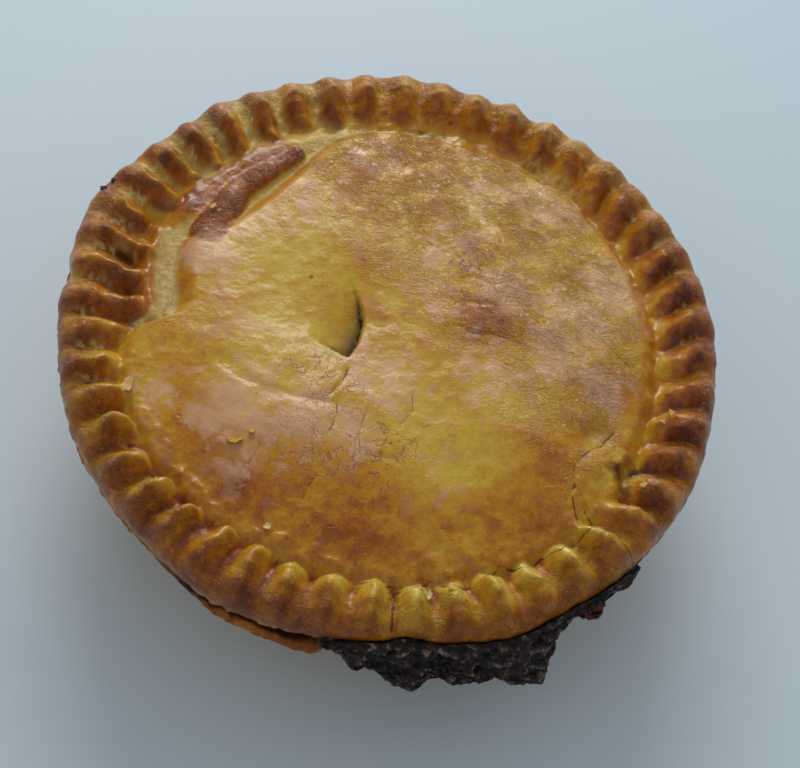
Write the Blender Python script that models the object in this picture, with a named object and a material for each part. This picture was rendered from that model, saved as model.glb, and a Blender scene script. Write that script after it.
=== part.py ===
"""A round baked meat and potato pie: a solid pastry case with a flange, a layer of filling that has boiled
out and burnt on at one side, and a domed pastry lid whose border is pressed into crimps.

Sizes are millimetres, and angles are degrees round the pie's axis from +X towards +Y. The origin is the
middle of the flat base. +Y is the back of the pie, and the burnt side faces -Y.
"""

import math

import bmesh
import bpy
import numpy as np

MM = 0.001
GAP = 0.3  # clearance between neighbouring pieces

# Lid
RIM_RADIUS = 60.0
SEAM_HEIGHT = 28.0  # underside of the lid's border
LID_ROOF = 30.0  # underside of the lid in the middle
LIP_START = 56.5  # where the border turns down
LIP_FOOT = 1.6  # upright height of the lip's edge
DOME_HEIGHT, DOME_DROP = 38.0, 4.2
# angle and radius of the dome's edge: it stops short at the left, and runs into the fingers at the front
DOME_EDGE = (
    (0, 48.2), (20, 48.0), (41, 47.6), (54, 47.2), (72, 46.9), (88, 46.6), (104, 46.6), (110, 46.0),
    (116, 43.6), (123, 40.6), (129, 38.6), (138, 37.0), (147, 36.6), (157, 37.6), (162, 40.0), (166, 42.2),
    (172, 41.2), (180, 39.6), (186, 38.6), (190, 40.0), (194, 48.0), (203, 50.2), (222, 50.6), (262, 51.0),
    (330, 50.8), (338, 49.8), (347, 49.0),
)
FLOOR_HEIGHT, FLOOR_RISE = 30.4, 1.8  # pressed border: it climbs towards the lip
FLOOR_FRONT, FLOOR_LEFT = 0.3, 1.7  # and is pressed less deeply here
LIP_DROOP = 1.2  # how far the lip hangs down at the front left
# angle, half-width and size of each swelling or dent of the lid's outline
OUTLINE = (
    (5, 9, -0.7), (36, 14, 0.2), (55, 4, 0.3), (73, 4, -1.0), (77.5, 1.8, 1.1), (83, 4, -0.9),
    (98, 8, 0.7), (115, 7, -0.3), (133.5, 3, 0.8), (144, 6, -0.4), (164, 7, 1.2), (181, 3, -1.2),
    (196, 9, -0.8), (213, 6, 0.2), (252, 12, 1.2), (267, 4, 0.6), (282.5, 3.5, -1.2), (300, 8, 1.3),
    (317, 7, 0.3), (353, 7, -0.5),
)

# Crimps: fingers of dough between pressed grooves
CRIMPS = 48
CRIMP_START = 14.4
CRIMP_LEAN = 0.32  # degrees per millimetre of radius, one way at +X and the other at -X
CRIMP_PIVOT = 55.0
CRIMP_HEIGHT, CRIMP_FRONT = 2.9, 0.6  # at the front they stand higher
CRIMP_WIDTH = 1.0  # share of the pitch
CRIMP_TIP = 47.4
CRIMP_SEED = 7

# Marks on the dome
FOLD = ((-36.4, 12.6), (-33.0, 24.0), (-24.4, 34.6))
FOLD_HALF_WIDTH, FOLD_HEIGHT = 3.8, 2.8
SHELF_HEIGHT = 1.2  # dough between the fold and the fingers behind it
LEFT_RIM = ((-45.8, 11.4), (-45.7, 4.8), (-44.6, -1.6), (-42.0, -7.4))
LEFT_RIM_HEIGHT, LEFT_RIM_WIDTH = 1.3, 1.5
HOLLOW_CENTRE, HOLLOW_RADIUS, HOLLOW_DEPTH = (-11.0, -1.0), 14.0, 2.2
CREASE = ((-28.8, -15.0), (-19.2, -20.3), (-7.9, -20.2))
WELT_START, WELT_END = (9.0, 1.0), (27.0, 5.0)
PIT_CENTRE, PIT_RADIUS, PIT_DEPTH = (38.4, -13.4), 2.8, 1.6
BLISTER_CENTRE, BLISTER_RADIUS, BLISTER_HEIGHT = (40.0, -21.0), 3.6, 1.0

# Vent: a stabbed flap, level at its hinge and deepest at its point
VENT_HINGE = ((-9.9, 7.6), (-15.3, -6.2))
VENT_CUT = ((-12.0, -7.7), (-6.9, -9.6), (-5.7, -6.4), (-5.4, -1.4), (-7.1, 3.2))
VENT_SLOPE = 0.42
VENT_LEVEL = 36.0

# Case
BASE_RADIUS = 43.5
BASE_BEVEL = 1.4
WALL_TOP_RADIUS, WALL_TOP = 54.0, 20.4
FLANGE_RADIUS = 59.3
FLANGE_UNDER = 25.0
FLANGE_TOP = SEAM_HEIGHT - GAP
SEAT_RADIUS = 50.0  # the filling's layer lies inside this
SEAT_HEIGHT = 25.2

# Split seam, and the filling that has boiled out beside it
SEAM_SAG = 2.4
# angle, and how far the flange's upper face has dropped from the lid
SEAM_SAGS = (
    (208, 0.0), (214, 1.5), (242, 1.5), (249, 4.4), (263, 4.4), (270, SEAM_SAG), (329, SEAM_SAG), (333, 0.0),
)
FLANGE_SAG, FLANGE_REACH = 3.0, 2.4
LEAK_FROM, LEAK_TO = 269.0, 326.0
LEAK_COVER = 1.4  # how far it laps up the lip
LEAK_FLANGE_FROM = 313.0  # from here on the leak is squeezed between lid and flange
LEAK_CUT_RADIUS = 55.3
# angle, half-width, extra depth and extra reach of each drip
DRIPS = ((283.5, 5.0, 5.2, 0.9), (293.5, 5.0, 5.0, 1.2), (303.0, 4.5, 9.0, 3.2))
LEAK_SEED = 11

CRUST_GOLD = (0.55, 0.27, 0.07, 1.0)
CASE_GOLD = (0.50, 0.28, 0.09, 1.0)
BURNT = (0.035, 0.022, 0.018, 1.0)


# ---------------------------------------------------------------- shaping functions


def smooth(low, high, value):
    """0 below low, 1 above high, and an S-curve between."""
    t = np.clip((value - low) / (high - low), 0.0, 1.0)
    return t * t * (3.0 - 2.0 * t)


def plateau(value, low, high, soft):
    """1 from low to high, and 0 outside, with soft edges."""
    return smooth(low - soft, low + soft, value) * (1.0 - smooth(high - soft, high + soft, value))


def bell(distance, width):
    return np.exp(-((distance / width) ** 2))


def spot(x, y, centre, radius):
    return bell(np.hypot(x - centre[0], y - centre[1]), radius)


def near_segment(x, y, start, end):
    """Share of the way along the segment, and the distance from it."""
    run = np.subtract(end, start)
    along = np.clip(((x - start[0]) * run[0] + (y - start[1]) * run[1]) / (run @ run), 0.0, 1.0)
    return along, np.hypot(x - start[0] - along * run[0], y - start[1] - along * run[1])


def sine(degrees):
    return np.sin(np.radians(degrees))


def polar(x, y):
    return np.hypot(x, y), np.degrees(np.arctan2(y, x)) % 360.0


def wobble(angle, waves, size, seed):
    """A smooth uneven line round the pie: one sine for each number of waves."""
    draw = np.random.default_rng(seed)
    total = 0.0 * angle
    for count in waves:
        total = total + draw.uniform(0.5, 1.0) * sine(count * angle + draw.uniform(0.0, 360.0))
    return size * total / math.sqrt(len(waves))


# ---------------------------------------------------------------- the lid's relief


def lid_edge(angle):
    """Radius of the lid's lip."""
    angle = np.asarray(angle) % 360.0
    edge = RIM_RADIUS + 0.0 * angle
    for centre, width, size in OUTLINE:
        away = np.abs(angle - centre)
        edge = edge + size * bell(np.minimum(away, 360.0 - away), width)
    return edge


def crimp_shift(angle, r):
    """How far the fingers stray from even spacing, in degrees."""
    drift = 1.75 * sine(angle + 48.0) + 0.36 * sine(2.0 * angle - 14.0) + 0.42 * sine(3.0 * angle + 44.0)
    return drift + CRIMP_LEAN * sine(angle + 80.0) * (r - CRIMP_PIVOT)


def crimp_tip(angle):
    """Radius of the fingers' inner ends."""
    front = plateau(angle, 207.0, 318.0, 8.0)
    back = plateau(angle, 56.0, 112.0, 6.0)
    back_left = plateau(angle, 116.0, 160.0, 4.0)
    left = plateau(angle, 170.0, 194.0, 5.0)
    return CRIMP_TIP + 1.4 * front + 0.8 * back - 1.2 * back_left - 3.4 * left


def crimp_height(x, y):
    """The fingers of dough that stand between the pressed grooves."""
    r, angle = polar(x, y)
    draw = np.random.default_rng(CRIMP_SEED)
    taller = draw.uniform(0.84, 1.12, CRIMPS)
    longer = draw.uniform(-0.7, 0.7, CRIMPS)
    place = (angle - crimp_shift(angle, r) - CRIMP_START) / (360.0 / CRIMPS)
    nearest = np.round(place).astype(int)
    width = CRIMP_WIDTH - 0.12 * plateau(angle, 60.0, 176.0, 14.0)
    across = 2.0 * (place - nearest) / width
    finger = nearest % CRIMPS
    half = np.maximum(math.pi * r / CRIMPS * width, 1.0)
    tip = crimp_tip(angle) + longer[finger]
    before_tip = np.maximum(tip + half - r, 0.0) / half
    away = np.minimum(np.hypot(across, before_tip), 1.0)
    front = plateau(angle, 200.0, 330.0, 8.0)
    bump = (0.5 + 0.5 * np.cos(math.pi * away)) ** (0.8 + 0.35 * front)
    # at the front the fingers run over the edge
    over_edge = plateau(angle, 262.0, 335.0, 10.0)
    fade = 1.0 - (0.82 - 0.5 * over_edge) * smooth(54.5, 58.5, r)
    # elsewhere they slope up from their inner ends
    blunt = np.maximum(plateau(angle, 165.0, 262.0, 8.0), 0.6 * plateau(angle, 106.0, 166.0, 8.0))
    sloping = 1.0 - (0.6 - 0.25 * front) * (1.0 - blunt) * (1.0 - smooth(0.5, 6.5, r - tip))
    return (CRIMP_HEIGHT + CRIMP_FRONT * front) * taller[finger] * bump * fade * sloping


def dome_edge(angle):
    """Radius at which the dome meets the border."""
    angles, radii = zip(*DOME_EDGE)
    return np.interp(angle, angles, radii, period=360.0)


def near_path(x, y, path):
    """Share of the way along a path of straight legs, and the distance from it."""
    best_off = np.full(np.shape(x), 99.0)
    best_along = np.zeros(np.shape(x))
    for leg, (start, end) in enumerate(zip(path, path[1:])):
        along, off = near_segment(x, y, start, end)
        best_along = np.where(off < best_off, (leg + along) / (len(path) - 1), best_along)
        best_off = np.minimum(off, best_off)
    return best_along, best_off


def fold_height(x, y):
    """The strip of dough folded over at the back left. It tapers to the right."""
    along, off = near_path(x, y, FOLD)
    taper = 1.0 - 0.5 * along
    return FOLD_HEIGHT * taper * np.maximum(1.0 - (off / (FOLD_HALF_WIDTH * taper)) ** 2, 0.0) ** 0.7


def lid_marks(x, y):
    """What stands proud of the plain dome, less what is sunk in it."""
    _, welt_off = near_segment(x, y, WELT_START, WELT_END)
    welt = 0.6 * bell(welt_off, 3.0)
    crease = 0.5 * bell(near_path(x, y, CREASE)[1], 1.2)
    hollow = HOLLOW_DEPTH * spot(x, y, HOLLOW_CENTRE, HOLLOW_RADIUS)
    pit = PIT_DEPTH * spot(x, y, PIT_CENTRE, PIT_RADIUS)
    blister = BLISTER_HEIGHT * spot(x, y, BLISTER_CENTRE, BLISTER_RADIUS)
    return welt + blister - crease - hollow - pit


def lid_top(x, y):
    """Height of the lid's upper surface, before the vent is cut."""
    r, angle = polar(x, y)
    edge = dome_edge(angle)
    front = plateau(angle, 199.0, 334.0, 8.0)
    left = plateau(angle, 112.0, 196.0, 8.0)
    floor = FLOOR_HEIGHT + FLOOR_RISE * smooth(47.0, 56.0, r)
    floor = floor + FLOOR_FRONT * front * (1.0 - smooth(50.0, 54.0, r))
    floor = floor + FLOOR_LEFT * left * (1.0 - smooth(45.0, 49.0, r))
    dome = DOME_HEIGHT - DOME_DROP * (r / 46.5) ** 2.4
    waves = 0.35 * np.sin(x / 9.0 + 1.0) * np.sin(y / 11.0) * (1.0 - smooth(30.0, 46.0, r))
    inside = 1.0 - smooth(edge - 3.4 + 1.6 * front, edge + 0.8, r)
    shelf = SHELF_HEIGHT * plateau(angle, 122.0, 161.0, 4.0) * (1.0 - smooth(46.0, 50.0, r))
    shelf = shelf * smooth(-1.0, 1.5, r - 42.3 + 0.105 * (angle - 125.0))
    rim = LEFT_RIM_HEIGHT * bell(near_path(x, y, LEFT_RIM)[1], LEFT_RIM_WIDTH)
    # the dome, the fingers and the fold melt into each other where they meet
    domed = np.maximum((dome + waves - floor) * inside, 0.0)
    rises = (domed, crimp_height(x, y), fold_height(x, y), rim, shelf)
    return floor + sum(rise**4 for rise in rises) ** 0.25 + lid_marks(x, y)


def roof(x, y):
    """Underside of the lid: level at the border, and arched over the filling."""
    return SEAM_HEIGHT + (LID_ROOF - SEAM_HEIGHT) * (1.0 - smooth(0.0, SEAT_RADIUS, np.hypot(x, y)))


# ---------------------------------------------------------------- rings and closed shells


def ring_angles(count):
    return CRIMP_START + np.arange(count) * 360.0 / count


def ring_points(count, radius, height, follow=0.0):
    """Points round the axis. radius is a number or a function of the angle, and height of x and y.

    follow is the share by which the points keep to the fingers.
    """
    angle = ring_angles(count)
    r = radius(angle) if callable(radius) else np.full(count, float(radius))
    angle = np.radians(angle + follow * crimp_shift(angle, r))
    x, y = r * np.cos(angle), r * np.sin(angle)
    z = height(x, y) if callable(height) else np.full(count, float(height))
    return np.column_stack([x, y, z])


def zip_rings(bm, first, second):
    """Joins two rings of any counts by a band of triangles."""
    i = j = 0
    while i < len(first) or j < len(second):
        a, b = first[i % len(first)], second[j % len(second)]
        if j == len(second) or (i < len(first) and (i + 1) / len(first) <= (j + 1) / len(second)):
            bm.faces.new((a, first[(i + 1) % len(first)], b))
            i += 1
        else:
            bm.faces.new((a, second[(j + 1) % len(second)], b))
            j += 1


def to_object(bm, name):
    bmesh.ops.recalc_face_normals(bm, faces=bm.faces)
    mesh = bpy.data.meshes.new(name)
    bm.to_mesh(mesh)
    bm.free()
    obj = bpy.data.objects.new(name, mesh)
    bpy.context.scene.collection.objects.link(obj)
    return obj


def shell(name, first_height, rings, last_height):
    """A closed body from rings of points, with a pole on the axis at each end."""
    bm = bmesh.new()
    loops = [[bm.verts.new(point * MM) for point in ring] for ring in rings]
    for first, second in zip(loops, loops[1:]):
        zip_rings(bm, first, second)
    for height, loop in ((first_height, loops[0]), (last_height, loops[-1])):
        tip = bm.verts.new((0.0, 0.0, height * MM))
        for a, b in zip(loop, loop[1:] + loop[:1]):
            bm.faces.new((a, b, tip))
    return to_object(bm, name)


def combine(obj, other, operation):
    """Joins or cuts obj by other, and removes other."""
    boolean = obj.modifiers.new("combine", "BOOLEAN")
    boolean.operation = operation
    boolean.solver = "EXACT"
    boolean.object = other
    graph = bpy.context.evaluated_depsgraph_get()
    result = bpy.data.meshes.new_from_object(obj.evaluated_get(graph))
    obj.modifiers.clear()
    obj.data = result
    bpy.data.objects.remove(other)


def finish(obj, material_name, color, roughness):
    made = bpy.data.materials.new(material_name)
    made.use_nodes = True
    shader = made.node_tree.nodes["Principled BSDF"]
    shader.inputs["Base Color"].default_value = color
    shader.inputs["Roughness"].default_value = roughness
    shader.inputs["Metallic"].default_value = 0.0
    obj.data.materials.append(made)
    obj.data.shade_smooth()
    obj.data.set_sharp_from_angle(angle=math.radians(50.0))


# ---------------------------------------------------------------- the lid


def lip_ring(count, turn):
    """The lid's edge: turn 0 lies on its upper surface, and turn 90 is upright at its outside."""
    top = ring_points(count, LIP_START, lid_top, 1.0)
    angle = polar(top[:, 0], top[:, 1])[1]
    r = LIP_START + (lid_edge(angle) - LIP_START) * sine(turn)
    low = SEAM_HEIGHT + LIP_FOOT
    z = low + (top[:, 2] - low) * math.cos(math.radians(turn))
    return np.column_stack([r * np.cos(np.radians(angle)), r * np.sin(np.radians(angle)), z])


def foot_ring(count):
    """The lip's lower edge, which hangs down at the front left."""
    ring = lip_ring(count, 90.0)
    angle = polar(ring[:, 0], ring[:, 1])[1]
    ring[:, 2] = SEAM_HEIGHT - LIP_DROOP * plateau(angle, 216.0, 264.0, 4.0)
    return ring


def vent_cutter():
    """A wedge with a flat sloping floor, whose outline is the flap's."""
    start, end = (np.array(point) for point in VENT_HINGE)
    run = (end - start) / np.linalg.norm(end - start)
    bm = bmesh.new()
    floor, roof_points = [], []
    for point in VENT_HINGE + VENT_CUT:
        reach = abs(run[0] * (point[1] - start[1]) - run[1] * (point[0] - start[0]))
        floor.append(bm.verts.new(np.array((*point, VENT_LEVEL - VENT_SLOPE * reach)) * MM))
        roof_points.append(bm.verts.new(np.array((*point, DOME_HEIGHT + 3.0)) * MM))
    bm.faces.new(floor)
    bm.faces.new(roof_points)
    for i in range(len(floor)):
        j = (i + 1) % len(floor)
        bm.faces.new((floor[i], floor[j], roof_points[j], roof_points[i]))
    cutter = to_object(bm, "vent_cutter")
    cutter.hide_render = True
    cutter.display_type = "WIRE"
    return cutter


def make_lid():
    middle, dome, border = 72, 144, 288
    rings = [ring_points(middle, r, lid_top) for r in (5.0, 10.0, 15.5)]
    rings += [ring_points(dome, r, lid_top) for r in (20.5, 25.5, 30.0, 33.0, 35.6, 38.2, 40.8)]
    rings += [ring_points(dome, 43.2, lid_top, 0.6)]
    rings += [ring_points(border, r, lid_top, 1.0) for r in (45.0, 46.4, 47.8, 49.2, 50.8, 52.6, 54.6)]
    rings += [lip_ring(border, turn) for turn in (0.0, 32.0, 60.0, 90.0)]
    rings += [foot_ring(border), ring_points(middle, 57.5, roof)]
    rings += [ring_points(48, r, roof) for r in (SEAT_RADIUS, 34.0, 17.0)]
    lid = shell("pastry_lid", float(lid_top(0.0, 0.0)), rings, LID_ROOF)
    combine(lid, vent_cutter(), "DIFFERENCE")
    finish(lid, "glazed_crust", CRUST_GOLD, 0.38)


# ---------------------------------------------------------------- the case


def flange_edge(angle):
    """Radius of the case's flange: it juts out at the split, and is missing behind the burnt crust."""
    angle = angle % 360.0
    plain = FLANGE_RADIUS + wobble(angle, (3, 4, 7, 12), 0.25, LEAK_SEED)
    jut = FLANGE_REACH * smooth(238.0, 256.0, angle) * (1.0 - smooth(284.0, 306.0, angle))
    missing = plateau(angle, LEAK_FROM - 1.0, LEAK_FLANGE_FROM + 1.0, 1.5)
    return (plain + jut) * (1.0 - missing) + LEAK_CUT_RADIUS * missing


def seam_sag(angle):
    """How far the flange's upper face has dropped from the lid."""
    angles, drops = zip(*SEAM_SAGS)
    return np.interp(angle % 360.0, angles, drops)


def flange_ring(share, height, sag):
    """A ring of the flange. share is how far it lies from the wall to the edge."""
    points = ring_points(144, lambda a: WALL_TOP_RADIUS + (flange_edge(a) - WALL_TOP_RADIUS) * share, height)
    points[:, 2] -= sag(ring_angles(144))
    return points


def under_sag(angle):
    """How far the flange's lower face droops at the front."""
    angle = angle % 360.0
    return FLANGE_SAG * smooth(226.0, 252.0, angle) * (1.0 - smooth(296.0, 318.0, angle))


def wall_ring(share):
    """A ring round the tapered wall, share 0 at the base and 1 under the flange."""
    radius = BASE_RADIUS + (WALL_TOP_RADIUS - BASE_RADIUS) * share**0.9
    height = BASE_BEVEL + (WALL_TOP - BASE_BEVEL) * share
    return ring_points(96, lambda a: radius + wobble(a, (2, 5, 8), 0.2, LEAK_SEED + 1), height)


def make_case():
    seat = SEAT_HEIGHT - GAP
    rings = [ring_points(48, BASE_RADIUS - 14.0, 0.0), ring_points(96, BASE_RADIUS - BASE_BEVEL, 0.0)]
    rings += [wall_ring(share) for share in (0.0, 0.35, 0.7, 1.0)]
    rings.append(flange_ring(0.55, FLANGE_UNDER - 0.8, under_sag))
    rings.append(flange_ring(0.93, FLANGE_UNDER, under_sag))
    rings.append(flange_ring(1.0, FLANGE_UNDER + 1.1, lambda a: 0.5 * (under_sag(a) + seam_sag(a))))
    rings.append(flange_ring(0.92, FLANGE_TOP, seam_sag))
    rings.append(flange_ring(-0.2, FLANGE_TOP, seam_sag))
    rings.append(ring_points(96, SEAT_RADIUS - 0.6, seat))
    rings.append(ring_points(48, SEAT_RADIUS - 16.0, seat))
    case = shell("pastry_case", 0.0, rings, seat)
    finish(case, "baked_case", CASE_GOLD, 0.6)


# ---------------------------------------------------------------- the filling and its burnt crust


def make_layer():
    """The filling's layer under the lid."""
    edge = SEAT_RADIUS - 1.2
    rings = [ring_points(48, r, lambda x, y: roof(x, y) - GAP) for r in (17.0, 34.0, edge)]
    rings += [ring_points(48, edge, SEAT_HEIGHT), ring_points(24, edge / 2.0, SEAT_HEIGHT)]
    return shell("filling", LID_ROOF - GAP, rings, SEAT_HEIGHT)


def leak_section(angle):
    """Outline of the burnt crust at one angle, as radius and height: tongue, lip, outside, foot and back."""
    squeezed = smooth(LEAK_FLANGE_FROM - 9.0, LEAK_FLANGE_FROM - 1.5, angle)
    body = smooth(LEAK_FROM + 1.0, LEAK_FROM + 6.0, angle) * (1.0 - squeezed)
    top = SEAM_HEIGHT - GAP
    under = FLANGE_TOP - SEAM_SAG + GAP + 0.3
    depth, reach = 7.0, 1.2
    for centre, width, deeper, further in DRIPS:
        depth += deeper * bell(angle - centre, width)
        reach += further * bell(angle - centre, width)
    edge = [wobble(angle, (31, 47, 71), size, LEAK_SEED + n) for n, size in enumerate((0.3, 0.5, 0.5, 0.9))]
    foot = under - 0.3 + (SEAM_HEIGHT - depth + edge[3] - under + 0.3) * body
    out = RIM_RADIUS + 0.3 + reach * max(body, 0.5) - 1.4 * smooth(LEAK_TO - 8.0, LEAK_TO, angle)
    out += 1.6 * bell(angle - 314.5, 1.7)
    lip = float(lid_edge(angle)) + GAP + 0.05
    cover = top + 0.15 + LEAK_COVER * plateau(angle, LEAK_FROM + 3.0, LEAK_TO - 3.0, 3.0)
    cover += 0.9 * bell(angle - 311.0, 8.0)
    out = max(out, lip + 0.5)
    inner = LEAK_CUT_RADIUS + GAP + 0.1
    drop = under - foot
    return (
        (SEAT_RADIUS - 6.0, top - 0.1),
        (inner + 1.0, top),
        (lip, top),
        (lip, cover),
        (lip + 0.5, cover),
        (out + edge[0], top - 0.3 * (top - foot)),
        (out + (0.3 + edge[1]) * body, 0.5 * (top + foot)),
        (out - 0.4 + edge[2] * body, foot + 0.22 * (top - foot)),
        (out - 1.5, foot),
        (inner + 2.0, foot + 0.2 * drop),
        (inner + 0.6, under - 0.5 * drop),
        (inner, under),
        (SEAT_RADIUS - 6.0, SEAT_HEIGHT + 0.4),
    )


def make_leak():
    """The crust of filling that has run out through the seam and burnt on, as one closed strip."""
    bm = bmesh.new()
    sections = []
    for angle in np.linspace(LEAK_FROM, LEAK_TO, 37):
        turn = np.array((math.cos(math.radians(angle)), math.sin(math.radians(angle))))
        sections.append([bm.verts.new((*(turn * r * MM), z * MM)) for r, z in leak_section(angle)])
    for first, second in zip(sections, sections[1:]):
        for a, b, c, d in zip(first, first[1:] + first[:1], second[1:] + second[:1], second):
            bm.faces.new((a, b, c, d))
    bm.faces.new(sections[0])
    bm.faces.new(sections[-1])
    return to_object(bm, "leak")


def make_filling():
    """The layer and the burnt crust are one mass, joined where the tongue passes through the seam."""
    filling = make_layer()
    combine(filling, make_leak(), "UNION")
    finish(filling, "burnt_filling", BURNT, 0.45)


for stale in list(bpy.data.objects):
    bpy.data.objects.remove(stale)
make_case()
make_filling()
make_lid()
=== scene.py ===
"""A baked meat and potato pie: egg-washed lid with a pressed border, shortcrust case, and filling that has
boiled out at the front and burnt. Lengths in the sections are millimetres; the meshes are in metres."""

import math

import bpy
import numpy as np
from mathutils import Matrix, Vector, noise


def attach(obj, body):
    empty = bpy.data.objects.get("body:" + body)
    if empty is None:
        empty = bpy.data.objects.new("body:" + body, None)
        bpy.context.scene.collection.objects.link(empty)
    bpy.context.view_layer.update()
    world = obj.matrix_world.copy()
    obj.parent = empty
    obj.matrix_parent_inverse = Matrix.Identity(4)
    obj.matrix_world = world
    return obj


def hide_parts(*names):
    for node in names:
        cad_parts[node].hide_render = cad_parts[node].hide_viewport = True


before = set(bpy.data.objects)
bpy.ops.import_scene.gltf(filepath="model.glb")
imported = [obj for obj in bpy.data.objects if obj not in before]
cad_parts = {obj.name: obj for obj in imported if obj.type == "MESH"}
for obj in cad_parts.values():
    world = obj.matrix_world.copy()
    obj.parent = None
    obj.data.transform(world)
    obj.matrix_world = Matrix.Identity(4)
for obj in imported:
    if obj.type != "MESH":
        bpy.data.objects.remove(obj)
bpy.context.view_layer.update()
MM = 0.001


# Pastry lid. A sheet of shortcrust rolled out, laid over the filling and pressed down all round by a
# ring of fluted dies, which leaves fingers of dough between grooves. A knife has stabbed it once, and it
# is brushed with egg, so the tops of the fingers and the dome brown and shine while the grooves stay pale.

RIM_RADIUS = 60.0
SEAM_HEIGHT = 28.0
LID_ROOF = 30.0
SEAT_RADIUS = 50.0
LIP_START = 56.5
LIP_FOOT = 1.6
DOME_HEIGHT, DOME_DROP = 38.0, 4.2
DOME_EDGE = (  # angle and radius: the dome stops short at the left, and runs into the fingers at the front
    (0, 48.2), (20, 48.0), (41, 47.6), (54, 47.2), (72, 46.9), (88, 46.6), (104, 46.6), (110, 46.0),
    (116, 43.6), (123, 40.6), (129, 38.6), (138, 37.0), (147, 36.6), (157, 37.6), (162, 40.0),
    (166, 42.2), (172, 41.2), (180, 39.6), (186, 38.6), (190, 40.0), (194, 48.0), (203, 50.2),
    (222, 50.6), (262, 51.0), (330, 50.8), (338, 49.8), (347, 49.0),
)
FLOOR_HEIGHT, FLOOR_RISE, FLOOR_FRONT, FLOOR_LEFT = 30.4, 1.8, 0.3, 1.7
OUTLINE = (  # angle, width and size of each bulge or dent in the rim
    (5, 9, -0.7), (36, 14, 0.2), (55, 4, 0.3), (73, 4, -1.0), (77.5, 1.8, 1.1), (83, 4, -0.9),
    (98, 8, 0.7), (115, 7, -0.3), (133.5, 3, 0.8), (144, 6, -0.4), (164, 7, 1.2), (181, 3, -1.2),
    (196, 9, -0.8), (213, 6, 0.2), (252, 12, 1.2), (267, 4, 0.6), (282.5, 3.5, -1.2), (300, 8, 1.3),
    (317, 7, 0.3), (353, 7, -0.5),
)
CRIMPS, CRIMP_START, CRIMP_LEAN, CRIMP_PIVOT = 48, 14.4, 0.32, 55.0
CRIMP_HEIGHT, CRIMP_FRONT, CRIMP_WIDTH, CRIMP_TIP, CRIMP_SEED = 2.9, 0.6, 1.0, 47.4, 7
CRIMP_SHARPER = 0.14  # share by which the dough has risen above the pressed fingers
LIP_DROOP = 1.2  # how far the lip hangs down at the front left
FOLD = ((-36.4, 12.6), (-33.0, 24.0), (-24.4, 34.6))
FOLD_HALF_WIDTH, FOLD_HEIGHT = 3.8, 2.8
SHELF_HEIGHT = 1.2  # dough between the fold and the fingers behind it
LEFT_RIM = ((-45.8, 11.4), (-45.7, 4.8), (-44.6, -1.6), (-42.0, -7.4))
LEFT_RIM_HEIGHT, LEFT_RIM_WIDTH = 1.3, 1.5
HOLLOW_CENTRE, HOLLOW_RADIUS, HOLLOW_DEPTH = (-11.0, -1.0), 14.0, 2.2
CREASE = ((-28.8, -15.0), (-19.2, -20.3), (-7.9, -20.2))
CREASE_DEPTH, CREASE_WIDTH = 0.22, 1.2
WELT_START, WELT_END = (9.0, 1.0), (27.0, 5.0)
WELT_HEIGHT, WELT_WIDTH = 0.6, 3.0
PIT_CENTRE, PIT_RADIUS, PIT_DEPTH = (38.4, -13.4), 2.8, 1.6
BLISTER_CENTRE, BLISTER_RADIUS, BLISTER_HEIGHT = (40.0, -21.0), 3.6, 1.0
VENT_HINGE = ((-9.9, 7.6), (-15.3, -6.2))
VENT_CUT = ((-12.0, -7.7), (-6.9, -9.6), (-5.7, -6.4), (-5.4, -1.4), (-7.1, 3.2))
VENT_WIDTH, VENT_DEPTH, VENT_CORNER = 9.5, 3.9, (-6.8, -8.6)
SPLIT_FROM, SPLIT_TO = 246.0, 268.0
HOLE = ((-51.4, 5.3), (-48.9, 4.6))
HOLE_DEPTH, HOLE_HALF_WIDTH = 1.2, 0.9
VENT_CRUMB = ((-14.2, -7.6), (-8.2, -10.2))

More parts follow.
